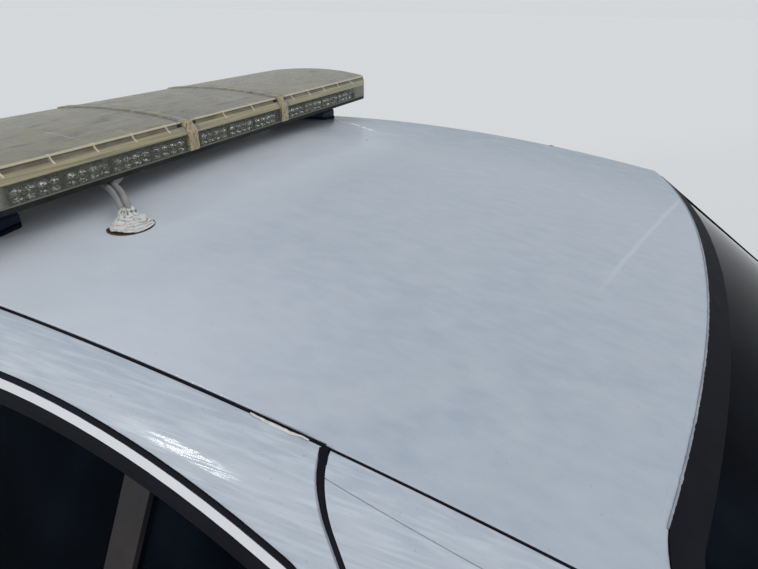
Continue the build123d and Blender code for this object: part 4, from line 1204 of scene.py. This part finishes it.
def roof_marks(tree, colour):
    """A faint pale line near the rear edge, pale strokes near the bar's far foot, and one dark
    speck.
    """
    x, y = coordinate(tree, "X"), coordinate(tree, "Y")
    crease = along_line(tree, *CREASE_LINE)
    crease = combine(tree, crease, band(tree, x, *CREASE_ENDS, CREASE_FADE), "MULTIPLY")
    colour = tint(tree, combine(tree, crease, CREASE_SHARE, "MULTIPLY"), colour, PAINT_THREAD)
    stroke = along_line(tree, *STROKE_LINE)
    stroke = combine(tree, stroke, band(tree, y, *STROKE_ENDS, STROKE_FADE), "MULTIPLY")
    broken = limit(tree, cloud(tree, STROKE_GRAIN, 3.0), 0.42, 0.56)
    colour = tint(tree, combine(tree, stroke, broken, "MULTIPLY"), colour, STROKE_COLOUR)
    far = add(tree, "VectorMath", {0: place_on_car(tree), 1: SPECK_AT}, operation="DISTANCE")
    speck = limit(tree, far.outputs["Value"], SPECK_INNER, SPECK_OUTER, SPECK_SHARE, 0.0)
    return tint(tree, speck, colour, ROOF_SPECK_COLOUR)


print("roof marks ready")

# %% [markdown]
# ## White paint
# The roof and door tops are white paint that has stood outdoors: the clear layer is dusty and
# slightly rippled, so it shows soft patches instead of a clean mirror. Dust changes both the
# colour and the gloss, because that is how dust works. The roof's ripple is broad and faint;
# the doors' is drawn out along the car, and breaks a highlight into long bright threads.

# %% White paint
PAINT_CLEAN = (0.352, 0.395, 0.445, 1)
PAINT_SHADED = (0.335, 0.378, 0.430, 1)
PAINT_DUSTY = (0.400, 0.432, 0.465, 1)
PAINT_PALE = (0.42, 0.458, 0.50, 1)
PAINT_SPECK = (0.16, 0.155, 0.15, 1)
SHADE_SIZE, PATCH_SIZE, MOTTLE_SIZE, SPECK_SIZE = 0.30, 0.040, 0.014, 0.0030
PEEL_SIZE, THREAD_SIZE = 0.012, 0.0045
PATCH_STRETCH, THREAD_STRETCH = (1.0, 0.75, 1.0), (1, 0.07, 1)
PATCH_SHARE, MOTTLE_SHARE, THREAD_SHARE, SPECKS_SHARE = 0.75, 0.45, 0.6, 0.35
PAINT_GLOSS = (0.30, 0.50)
# size, stretch and depth of the broad ripple, then stretch and depth of the fine peel
ROOF_WAVES = (0.09, (1, 0.7, 1), 0.0006, (1, 0.4, 1), 0.00005)
DOOR_WAVES = (0.022, (1, 0.22, 1), 0.0010, (2, 0.14, 2), 0.0006)


def roof_layers(tree, colour):
    return roof_marks(tree, roof_painted_light(tree, colour))


def door_reflection_threads(tree, colour):
    """Long pale threads along the car: a painted reflection of a streaky sky in the rippled coat.
    """
    threads = cloud(tree, THREAD_SIZE, 2.0, THREAD_STRETCH)
    return tint(tree, limit(tree, threads, 0.45, 0.66, 0.0, THREAD_SHARE), colour, PAINT_THREAD)


def make_paint(name, waves, layers):
    ripple_size, ripple_stretch, ripple_depth, peel_stretch, peel_depth = waves
    made, tree, shader = start_finish(
        name + "_finish", Roughness=0.42, Specular_IOR_Level=0.24, Coat_Weight=0.20,
        Coat_Roughness=0.10)
    patches = cloud(tree, PATCH_SIZE, 4.0, PATCH_STRETCH, 0.55)
    broad = cloud(tree, SHADE_SIZE, 2.0)
    colour = tint(tree, limit(tree, broad, 0.35, 0.65), PAINT_SHADED, PAINT_CLEAN)
    dust = limit(tree, patches, 0.40, 0.72, 0.0, PATCH_SHARE)
    colour = tint(tree, dust, colour, PAINT_DUSTY)
    mottle = cloud(tree, MOTTLE_SIZE, 3.0, peel_stretch)
    mottle = limit(tree, mottle, 0.35, 0.68, 0.0, MOTTLE_SHARE)
    colour = layers(tree, tint(tree, mottle, colour, PAINT_PALE))
    specks = limit(tree, cloud(tree, SPECK_SIZE, 1.0), 0.74, 0.80, 0.0, SPECKS_SHARE)
    wire(tree, tint(tree, specks, colour, PAINT_SPECK), shader, "Base Color")
    wire(tree, limit(tree, patches, 0.3, 0.75, *PAINT_GLOSS), shader, "Roughness")
    coarse = raise_by(tree, cloud(tree, ripple_size, 2.0, ripple_stretch), ripple_depth)
    bumped = raise_by(tree, cloud(tree, PEEL_SIZE, 2.0, peel_stretch), peel_depth, coarse)
    wire(tree, bumped, shader, "Normal")
    wire(tree, bumped, shader, "Coat Normal")
    return made


finishes = {"body_paint": make_paint("body_paint", ROOF_WAVES, roof_layers)}
door_paint = make_paint("door_paint", DOOR_WAVES, door_reflection_threads)
print("white paint ready")

# %% [markdown]
# ## Glass
# The door and rear panes are tinted so dark that little of the cabin shows; the windshield is
# almost clear. Glass is a solid pane that light passes through, so the shader transmits. A
# thin film of dust, streaked down the slope, keeps it from looking freshly cut, and where it
# lies less light gets through. Its streaks are also a painted reflection: they stand in for the
# patchy sky that the panes would mirror. The index is written lower than real glass has,
# because a dusty pane mirrors a pale sky far less than a clean one.

# %% Glass
FILM_SIZE, FINE_SIZE = 0.050, 0.004
FINE_SHARE = 0.15
FILM_LETS_THROUGH = 0.55
GLASS_GLOSS = (0.01, 0.10)
GLASS_RECIPES = {
    # name: colour, film's colour, least and most film, stretch of its streaks, index
    "screen_glass": ((0.66, 0.76, 0.73, 1), (0.45, 0.47, 0.47, 1),
                     (0.0, 0.12), (1, 0.2, 0.2), 1.35),
    "tinted_glass": ((0.005, 0.011, 0.022, 1), (0.055, 0.08, 0.12, 1),
                     (0.12, 0.36), (0.5, 0.5, 0.10), 1.05),
}


def make_glass(name, colour, film_colour, film_range, streak, index):
    made, tree, shader = start_finish(
        name + "_finish", Roughness=0.02, IOR=index, Transmission_Weight=1.0)
    # The film's colour is dust and also a painted reflection of a patchy sky.
    film = cloud(tree, FILM_SIZE, 3.0, streak)
    fine = limit(tree, cloud(tree, FINE_SIZE, 2.0), 0.68, 0.8, 0.0, FINE_SHARE)
    share = combine(tree, limit(tree, film, 0.40, 0.75, *film_range), fine)
    through = limit(tree, share, 0.0, 1.0, 1.0, FILM_LETS_THROUGH)
    wire(tree, tint(tree, share, colour, film_colour), shader, "Base Color")
    wire(tree, through, shader, "Transmission Weight")
    wire(tree, limit(tree, film, 0.35, 0.8, *GLASS_GLOSS), shader, "Roughness")
    return made


for name, recipe in GLASS_RECIPES.items():
    finishes[name] = make_glass(name, *recipe)
print("glass", list(GLASS_RECIPES))

# %% [markdown]
# ## The bar's hazed top
# Years of sun have hazed the clear plastic. The top is a scuffed olive grey, with pale strokes
# and dark smudges drawn out along the bar. Lenses and joint bands share it, so it is a
# function of its own, and so are the moulded ribs that cross the bar at even steps.

# %% Hazed top and ribs
HAZE_COLOUR = (0.196, 0.182, 0.128, 1)
HAZE_BLUE = (0.152, 0.150, 0.128, 1)
HAZE_PALE = (0.27, 0.25, 0.17, 1)
HAZE_DRAWN = (0.27, 0.26, 0.20, 1)
HAZE_SMUDGE = (0.105, 0.105, 0.09, 1)
HAZE_SIZE, SCUFF_SIZE, SMUDGE_SIZE = 0.10, 0.012, 0.020
SCUFF_STRETCH, DRAWN_STRETCH, SMUDGE_STRETCH = (0.35, 1, 1), (0.12, 1, 1), (0.30, 1, 1)
DRAWN_SHARE, SMUDGE_SHARE = 0.6, 0.75
MIDDLE_RIB = 0.04767
END_RIBS = (0.208, 0.2857, 0.3634, 0.4411, 0.5188)


def scuff_pattern(tree):
    return cloud(tree, SCUFF_SIZE, 5.0, SCUFF_STRETCH, 0.65)


def hazed_top(tree, haze, scuffs):
    """Olive grey haze with pale scuffs and dark smudges, as on top of the bar."""
    top = tint(tree, limit(tree, haze, 0.35, 0.7), HAZE_COLOUR, HAZE_BLUE)
    top = tint(tree, limit(tree, scuffs, 0.46, 0.72), top, HAZE_PALE)
    drawn = cloud(tree, SCUFF_SIZE, 4.0, DRAWN_STRETCH, 0.6)
    top = tint(tree, limit(tree, drawn, 0.50, 0.68, 0.0, DRAWN_SHARE), top, HAZE_DRAWN)
    smudge = cloud(tree, SMUDGE_SIZE, 4.0, SMUDGE_STRETCH, 0.6)
    return tint(tree, limit(tree, smudge, 0.53, 0.66, 0.0, SMUDGE_SHARE), top, HAZE_SMUDGE)


def ribs_across(tree, half, soft):
    """1 on each rib that crosses the bar, with a soft edge beside it."""
    across = from_middle(tree)
    ribs = band(tree, across, MIDDLE_RIB - half, MIDDLE_RIB + half, soft)
    for place in END_RIBS:
        ribs = combine(tree, ribs, band(tree, across, place - half, place + half, soft), "MAXIMUM")
    return ribs


print("ribs at", MIDDLE_RIB, *END_RIBS)

# %% [markdown]
# ## Belts of the clear lens
# The lens goes through five belts from its lower lip up: the clear face over the lamps, a
# ledge yellowed to cream with fine moulding lines, a darker brown groove, a pale bead whose
# bright colour is partly a painted highlight, and the hazed top. They run along the whole
# bar, so each is picked out by its height on the car, and the list of belts is laid one over
# the other from the lip up.

# %% Lens belts
EDGE_COLOUR = (0.15, 0.147, 0.110, 1)
FACE_COLOUR = (0.20, 0.205, 0.175, 1)
LEDGE_COLOUR = (0.33, 0.295, 0.185, 1)
LEDGE_DARK = (0.20, 0.185, 0.125, 1)
GROOVE_COLOUR = (0.125, 0.11, 0.085, 1)
# the bead's pale colour is partly a painted highlight along its rounded top
BEAD_PAINTED_HIGHLIGHT = (0.44, 0.41, 0.29, 1)
TOP_LINE_COLOUR = (0.40, 0.38, 0.28, 1)
LIP_TOP, FACE_TOP, LEDGE_TOP, GROOVE_TOP, BEAD_TOP = 0.5912, 0.6188, 0.6320, 0.6384, 0.6410
LIP_SOFT, BELT_SOFT, GROOVE_SOFT = 0.001, 0.0006, 0.0005
TOP_FROM = BEAD_TOP + 0.0004
TOP_LINE_HALF, TOP_LINE_SOFT = 0.0005, 0.0010


def lens_belts(tree, height, haze, scuffs, lines):
    """Colour from the lower lip up to the top."""
    broken = cloud(tree, 0.03, 3.0, (1, 0.4, 1))
    broken = limit(tree, broken, 0.42, 0.58, 0.0, 0.7)
    line = combine(tree, ribs_across(tree, TOP_LINE_HALF, TOP_LINE_SOFT), broken, "MULTIPLY")
    top = tint(tree, line, hazed_top(tree, haze, scuffs), TOP_LINE_COLOUR)
    ledge = tint(tree, limit(tree, lines, 0.40, 0.62), LEDGE_COLOUR, LEDGE_DARK)
    ledge = tint(tree, limit(tree, haze, 0.45, 0.75, 0.0, 0.5), ledge, HAZE_PALE)
    groove_mottle = cloud(tree, 0.02, 3.0, (0.5, 1, 1))
    groove = tint(tree, limit(tree, groove_mottle, 0.4, 0.7), GROOVE_COLOUR, LEDGE_DARK)
    colour = EDGE_COLOUR
    for start, soft, belt in (
            (LIP_TOP, LIP_SOFT, FACE_COLOUR), (FACE_TOP, BELT_SOFT, ledge),
            (LEDGE_TOP, BELT_SOFT, groove), (GROOVE_TOP, GROOVE_SOFT, BEAD_PAINTED_HIGHLIGHT),
            (TOP_FROM, BELT_SOFT, top)):
        colour = tint(tree, limit(tree, height, start - soft, start), colour, belt)
    return colour


print("belts up to", BEAD_TOP)

# %% [markdown]
# ## Ribs and stains of the lens
# Pale ribs stand across the slope, where the moulding is thicker, and by each joint band the
# plastic has taken a blue-grey stain. Both end at a height and at a distance from the middle
# of the car, so two masks multiplied together cut them out.

# %% Lens ribs and stains
RIB_COLOUR = (0.50, 0.46, 0.32, 1)
STAIN_COLOUR = (0.16, 0.15, 0.165, 1)
RIB_HALF, RIB_SOFT = 0.0016, 0.0003
RIBS_FROM, RIBS_FULL = LEDGE_TOP - 0.004, LEDGE_TOP - 0.003
STAIN_ENDS, STAIN_SOFT = (0.134, 0.180), 0.004


def lens_ribs_and_stains(tree, height, across, colour):
    """Pale ribs over the slope, and blue-grey stains beside the joint bands."""
    over_ledge = limit(tree, height, RIBS_FROM, RIBS_FULL)
    under_top = limit(tree, height, BEAD_TOP, BEAD_TOP + BELT_SOFT, 1.0, 0.0)
    on_slope = combine(tree, over_ledge, under_top, "MULTIPLY")
    ribs = combine(tree, ribs_across(tree, RIB_HALF, RIB_SOFT), on_slope, "MULTIPLY")
    colour = tint(tree, ribs, colour, RIB_COLOUR)
    blotch = limit(tree, cloud(tree, 0.012, 3.0), 0.40, 0.6, 0.0, 0.75)
    stain = combine(tree, band(tree, across, *STAIN_ENDS, STAIN_SOFT), blotch, "MULTIPLY")
    over_face = limit(tree, height, FACE_TOP, FACE_TOP + BELT_SOFT)
    return tint(tree, combine(tree, stain, over_face, "MULTIPLY"), colour, STAIN_COLOUR)


print("stains from", *STAIN_ENDS)

# %% [markdown]
# ## Clear lens
# Only the face lets light through. The wall there is thin and nearly flat and hardly bends
# the light, so Alpha is enough: a cover value from 0 to 1 says how much the plastic stops.
# Fine scratches along the bar and the moulding lines are bumps.

# %% Clear lens
END_CAP = (0.518, 0.535)
FACE_COVER, LIP_COVER, END_COVER, BELT_COVER, DUST_COVER = 0.15, 0.95, 0.66, 0.96, 0.25
MOULD_LINES, MOULD_STRETCH, MOULD_DEPTH = 0.0016, (0.01, 1, 1), 0.00012
SCRATCH_SIZE, SCRATCH_STRETCH, SCRATCH_DEPTH = 0.0022, (0.12, 1, 1), 0.00010


def lens_cover(tree, height, across):
    """How much of the light the plastic stops: little on the face, nearly all elsewhere."""
    cover = limit(tree, height, FACE_TOP - BELT_SOFT, FACE_TOP, FACE_COVER, BELT_COVER)
    cap = limit(tree, across, *END_CAP, 0.0, END_COVER)
    lip = limit(tree, height, LIP_TOP - LIP_SOFT, LIP_TOP, LIP_COVER, 0.0)
    dust = limit(tree, cloud(tree, 0.006, 3.0), 0.5, 0.8, 0.0, DUST_COVER)
    cover = combine(tree, combine(tree, cover, cap, "MAXIMUM"), lip, "MAXIMUM")
    return combine(tree, combine(tree, cover, dust), 1.0, "MINIMUM")


def make_lens():
    made, tree, shader = start_finish(
        "clear_lens_finish", Roughness=0.45, Specular_IOR_Level=0.18)
    height, across = coordinate(tree, "Z"), from_middle(tree)
    haze, scuffs = cloud(tree, HAZE_SIZE, 3.0), scuff_pattern(tree)
    lines = cloud(tree, MOULD_LINES, 1.0, MOULD_STRETCH)
    colour = lens_belts(tree, height, haze, scuffs, lines)
    colour = lens_ribs_and_stains(tree, height, across, colour)
    wire(tree, colour, shader, "Base Color")
    wire(tree, lens_cover(tree, height, across), shader, "Alpha")
    wire(tree, limit(tree, scuffs, 0.3, 0.8, 0.22, 0.50), shader, "Roughness")
    scratch = raise_by(tree, cloud(tree, SCRATCH_SIZE, 3.0, SCRATCH_STRETCH), SCRATCH_DEPTH)
    wire(tree, raise_by(tree, lines, MOULD_DEPTH, scratch), shader, "Normal")
    return made


finishes["clear_lens"] = make_lens()
print("clear lens ready")

# %% [markdown]
# ## Joint bands
# The bands over the lens joints are another plastic: it has gone amber and split along its
# length. The splits are the edges of a mosaic of long cells. On top the bands are hazed like
# the lenses, with a pale seam down their middle.

# %% Joint bands
BAND_AMBER = (0.36, 0.25, 0.10, 1)
BAND_GREY = (0.33, 0.31, 0.24, 1)
BAND_BRIGHT = (0.55, 0.46, 0.24, 1)
BAND_SPLIT = (0.04, 0.032, 0.02, 1)
BAND_SEAM = (0.42, 0.40, 0.27, 1)
BAND_STAIN = (0.42, 0.37, 0.18, 1)
SEAM_ENDS, SEAM_SOFT, SEAM_SHARE = (0.1555, 0.1575), 0.0008, 0.8


def make_band():
    made, tree, shader = start_finish("weathered_band_finish", Roughness=0.5)
    streaks = cloud(tree, 0.006, 3.0, (1.6, 0.25, 0.25), 0.6)
    bright = limit(tree, cloud(tree, 0.004, 2.0, (1.6, 0.15, 0.15)), 0.62, 0.74)
    split = limit(tree, cracks(tree, 0.007, (1.6, 0.35, 0.35)), 0.0, 0.07)
    low = tint(tree, limit(tree, streaks, 0.38, 0.62), BAND_AMBER, BAND_GREY)
    low = tint(tree, split, BAND_SPLIT, tint(tree, bright, low, BAND_BRIGHT))
    top = hazed_top(tree, cloud(tree, HAZE_SIZE, 3.0), scuff_pattern(tree))
    seam = band(tree, from_middle(tree), *SEAM_ENDS, SEAM_SOFT)
    top = tint(tree, combine(tree, seam, SEAM_SHARE, "MULTIPLY"), top, BAND_SEAM)
    stain = limit(tree, cloud(tree, 0.03, 2.0, (0.6, 1, 1)), 0.60, 0.70, 0.0, 0.6)
    top = tint(tree, stain, top, BAND_STAIN)
    on_top = limit(tree, coordinate(tree, "Z"), TOP_FROM, TOP_FROM + 0.001)
    wire(tree, tint(tree, on_top, low, top), shader, "Base Color")
    wire(tree, raise_by(tree, combine(tree, split, streaks), 0.0005), shader, "Normal")
    return made


finishes["weathered_band"] = make_band()
print("joint bands ready")

# %% [markdown]
# ## Lamp blocks and bowls
# The lamps glitter because each bowl is bright metal that mirrors something else. The blocks
# round the bowls are metal too, under years of dust. In the bowls a noise of small facets
# drives colour, gloss and bump together, so a bit is either bright and smooth or dull.

# %% Lamp blocks and bowls
BOARD_DARK, BOARD_PALE = (0.06, 0.063, 0.056, 1), (0.17, 0.175, 0.155, 1)
BOWL_DULL, BOWL_BRIGHT = (0.10, 0.10, 0.09, 1), (0.96, 0.96, 0.93, 1)
BOARD_DUST, FACET_SIZE = 0.008, 0.0034
FACET_DEPTH = 0.0008


def make_lamp_board():
    """Bright but dusty metal of the lamp blocks round their pockets."""
    made, tree, shader = start_finish("lamp_board_finish", Metallic=0.7)
    dust = cloud(tree, BOARD_DUST, 4.0)
    colour = tint(tree, limit(tree, dust, 0.35, 0.7), BOARD_DARK, BOARD_PALE)
    wire(tree, colour, shader, "Base Color")
    wire(tree, limit(tree, dust, 0.3, 0.7, 0.22, 0.5), shader, "Roughness")
    return made


def make_reflector():
    """Bowls that glitter in bits: bright facets between dull and dark ones."""
    made, tree, shader = start_finish("lamp_reflector_finish", Metallic=1.0)
    facets = cloud(tree, FACET_SIZE, 2.0, (1, 1, 1.6), 0.6)
    colour = tint(tree, limit(tree, facets, 0.47, 0.58), BOWL_DULL, BOWL_BRIGHT)
    wire(tree, colour, shader, "Base Color")
    wire(tree, limit(tree, facets, 0.4, 0.6, 0.30, 0.06), shader, "Roughness")
    wire(tree, raise_by(tree, facets, FACET_DEPTH), shader, "Normal")
    return made


finishes["lamp_reflector"] = make_reflector()
lamp_board = make_lamp_board()
print("lamp metals ready")

# %% [markdown]
# ## Sealant and rust, with painted shade and shadow
# The sealant is off-white and matt, and darker in its folds: that darkening is painted shade.
# Depth in a fold is found by how the surface curves, which the Geometry node's Pointiness
# gives. The rust piece is near black by the sealant, a painted shadow under the lifted edge,
# and dark brown rust further out, in fine grains, and a pale stain of old sealant lies round it.

# %% Sealant and rust
SEALANT_DULL, SEALANT_PALE = (0.46, 0.45, 0.425, 1), (0.62, 0.61, 0.58, 1)
SEALANT_FOLD_SHADE = (0.085, 0.08, 0.075, 1)
SEALANT_GRIME = (0.10, 0.095, 0.09, 1)
FOLD_CURVES = (0.430, 0.496)
RUST_SHADOW_DARK, RUST_BROWN = (0.018, 0.010, 0.007, 1), (0.115, 0.042, 0.020, 1)
RUST_STAIN = (0.36, 0.30, 0.26, 1)
BROWN_FROM, BROWN_TO, STAIN_TO = 0.0030, 0.0066, 0.0080
RUST_GRAIN = 0.0035


def make_sealant():
    made, tree, shader = start_finish("roof_sealant_finish", Roughness=0.6)
    lumps = cloud(tree, 0.005, 4.0, (1, 1, 1), 0.6)
    body = tint(tree, limit(tree, lumps, 0.35, 0.7), SEALANT_DULL, SEALANT_PALE)
    # Painted shade: the colour darkens where the skin curves inward, in the folds.
    curve = add(tree, "NewGeometry", {}).outputs["Pointiness"]
    fold_shaded = tint(tree, limit(tree, curve, *FOLD_CURVES), SEALANT_FOLD_SHADE, body)
    grime = limit(tree, cloud(tree, 0.0030, 3.0), 0.66, 0.74, 0.0, 0.6)
    wire(tree, tint(tree, grime, fold_shaded, SEALANT_GRIME), shader, "Base Color")
    wire(tree, raise_by(tree, cloud(tree, 0.0015, 3.0), 0.00025), shader, "Normal")
    return made


def reach_from_mound(tree):
    """Distance from the middle of the sealant, seen from above."""
    from_middle_of_it = {"Vector": place_on_car(tree), "Location": (-MOUND_AT.x, -MOUND_AT.y, 0)}
    moved = add(tree, "Mapping", from_middle_of_it).outputs[0]
    flat = add(tree, "VectorMath", {0: moved, 1: (1, 1, 0)}, operation="MULTIPLY").outputs[0]
    return add(tree, "VectorMath", {0: flat}, operation="LENGTH").outputs["Value"]


def make_rust_and_shadow_finish():
    made, tree, shader = start_finish("rust_and_shadow_finish", Roughness=0.85)
    grain = cloud(tree, 0.002, 4.0, (1, 1, 1), 0.7)
    edge = combine(tree, reach_from_mound(tree), combine(tree, grain, RUST_GRAIN, "MULTIPLY"))
    # Painted shadow: near black next to the sealant, where its lifted edge shades the roof; rust
    # brown further out.
    brown = limit(tree, edge, MOUND_RADIUS + BROWN_FROM, MOUND_RADIUS + BROWN_TO)
    stain = limit(tree, edge, MOUND_RADIUS + BROWN_TO, MOUND_RADIUS + STAIN_TO, 0.0, 0.8)
    colour = tint(tree, stain, tint(tree, brown, RUST_SHADOW_DARK, RUST_BROWN), RUST_STAIN)
    wire(tree, colour, shader, "Base Color")
    wire(tree, raise_by(tree, grain, 0.0004), shader, "Normal")
    return made


finishes["roof_sealant"] = make_sealant()
rust_and_shadow_finish = make_rust_and_shadow_finish()
print("sealant and rust ready")

# %% [markdown]
# ## Rubber, dark frames, plastics and metals
# These are all plain at first sight, but not the same: rubber is matt and greys where it has
# weathered, the division bar is satin paint, moulded plastic has a fine leather grain, cloth
# has a nap. One recipe serves them: a colour, a worn colour, a roughness, and the size and
# depth of a grain. All but the metals shine little, because dust dulls them. The thin bead of
# sealant at the roof's rear edge has a recipe of its own, greyer than the mound.

# %% Grained finishes
WEAR_SIZE = 0.05
WEAR_SMOOTHER, WEAR_ROUGHER = 0.06, 0.12
DUSTY_SHINE, METAL_SHINE = 0.08, 0.5


def make_grained(name, colour, worn, rough, grain_size, grain_depth, shine, metal=0.0):
    made, tree, shader = start_finish(
        name + "_finish", Roughness=rough, Specular_IOR_Level=shine, Metallic=metal)
    wear = cloud(tree, WEAR_SIZE, 5.0, (1, 1, 1), 0.6)
    gloss = limit(tree, wear, 0.3, 0.8, rough - WEAR_SMOOTHER, rough + WEAR_ROUGHER)
    wire(tree, tint(tree, limit(tree, wear, 0.4, 0.72), colour, worn), shader, "Base Color")
    wire(tree, gloss, shader, "Roughness")
    wire(tree, raise_by(tree, cloud(tree, grain_size, 2.0), grain_depth), shader, "Normal")
    return made


# name: colour, worn colour, roughness, grain size, grain depth
PLAIN_RECIPES = {
    "black_rubber": ((0.004, 0.004, 0.007, 1), (0.009, 0.009, 0.013, 1), 0.70, 0.0012, 0.00006),
    "dark_frame": ((0.020, 0.018, 0.019, 1), (0.032, 0.028, 0.028, 1), 0.50, 0.0010, 0.00003),
    "dark_plastic": ((0.013, 0.013, 0.014, 1), (0.032, 0.031, 0.030, 1), 0.50, 0.0011, 0.00012),
    "inner_frame": ((0.36, 0.37, 0.37, 1), (0.42, 0.42, 0.41, 1), 0.60, 0.0012, 0.00010),
    "visor_vinyl": ((0.40, 0.40, 0.38, 1), (0.46, 0.46, 0.44, 1), 0.55, 0.0016, 0.00015),
    "foot_paint": ((0.012, 0.017, 0.035, 1), (0.035, 0.042, 0.060, 1), 0.32, 0.0009, 0.00005),
    "cable_sheath": ((0.20, 0.195, 0.187, 1), (0.31, 0.305, 0.295, 1), 0.42, 0.0025, 0.00018),
    "lamp_cover": ((0.66, 0.64, 0.52, 1), (0.74, 0.73, 0.64, 1), 0.25, 0.002, 0.00010),
    "lining_fabric": ((0.42, 0.42, 0.40, 1), (0.50, 0.50, 0.48, 1), 0.90, 0.0014, 0.00030),
    "edge_bead": ((0.22, 0.235, 0.26, 1), (0.36, 0.37, 0.38, 1), 0.6, 0.003, 0.0002),
}
METAL_RECIPES = {
    "bright_trim": ((0.93, 0.93, 0.94, 1), (0.84, 0.85, 0.87, 1), 0.07, 0.010, 0.00003),
    "strap_steel": ((0.52, 0.52, 0.50, 1), (0.40, 0.39, 0.37, 1), 0.38, 0.001, 0.00005),
}
for name, recipe in PLAIN_RECIPES.items():
    finishes[name] = make_grained(name, *recipe, DUSTY_SHINE)
for name, recipe in METAL_RECIPES.items():
    finishes[name] = make_grained(name, *recipe, METAL_SHINE, metal=1.0)
print("finishes", sorted(finishes))

# %% [markdown]
# ## Handing the finishes out
# Each node of the frame already names the finish that it wants, and so does each piece made
# here. A few take a finish apart from their name: the doors and pillars, whose paint ripples
# along the car and carries painted reflection threads, the lamp blocks, the rust and painted
# shadow under the mound and the bead at the rear edge.

# %% Hand the finishes out
PAINTED_LIKE_DOORS = ("door_frame", "strip_", "pillar")
for name, node in nodes.items():
    for held in node.material_slots:
        held.material = finishes[held.material.name]
    if any(word in name for word in PAINTED_LIKE_DOORS):
        node.material_slots[0].material = door_paint
    if name.startswith("bar_lamps"):
        node.material_slots[0].material = lamp_board
for piece in cables.values():
    piece.data.materials.append(finishes["cable_sheath"])
for piece, finish in made_pieces:
    piece.data.materials.clear()
    piece.data.materials.append(finishes[finish])
rust_and_shadow.data.materials[0] = rust_and_shadow_finish
edge_bead.data.materials[0] = finishes["edge_bead"]
print("dressed", len(nodes), "nodes and", len(made_pieces), "pieces")
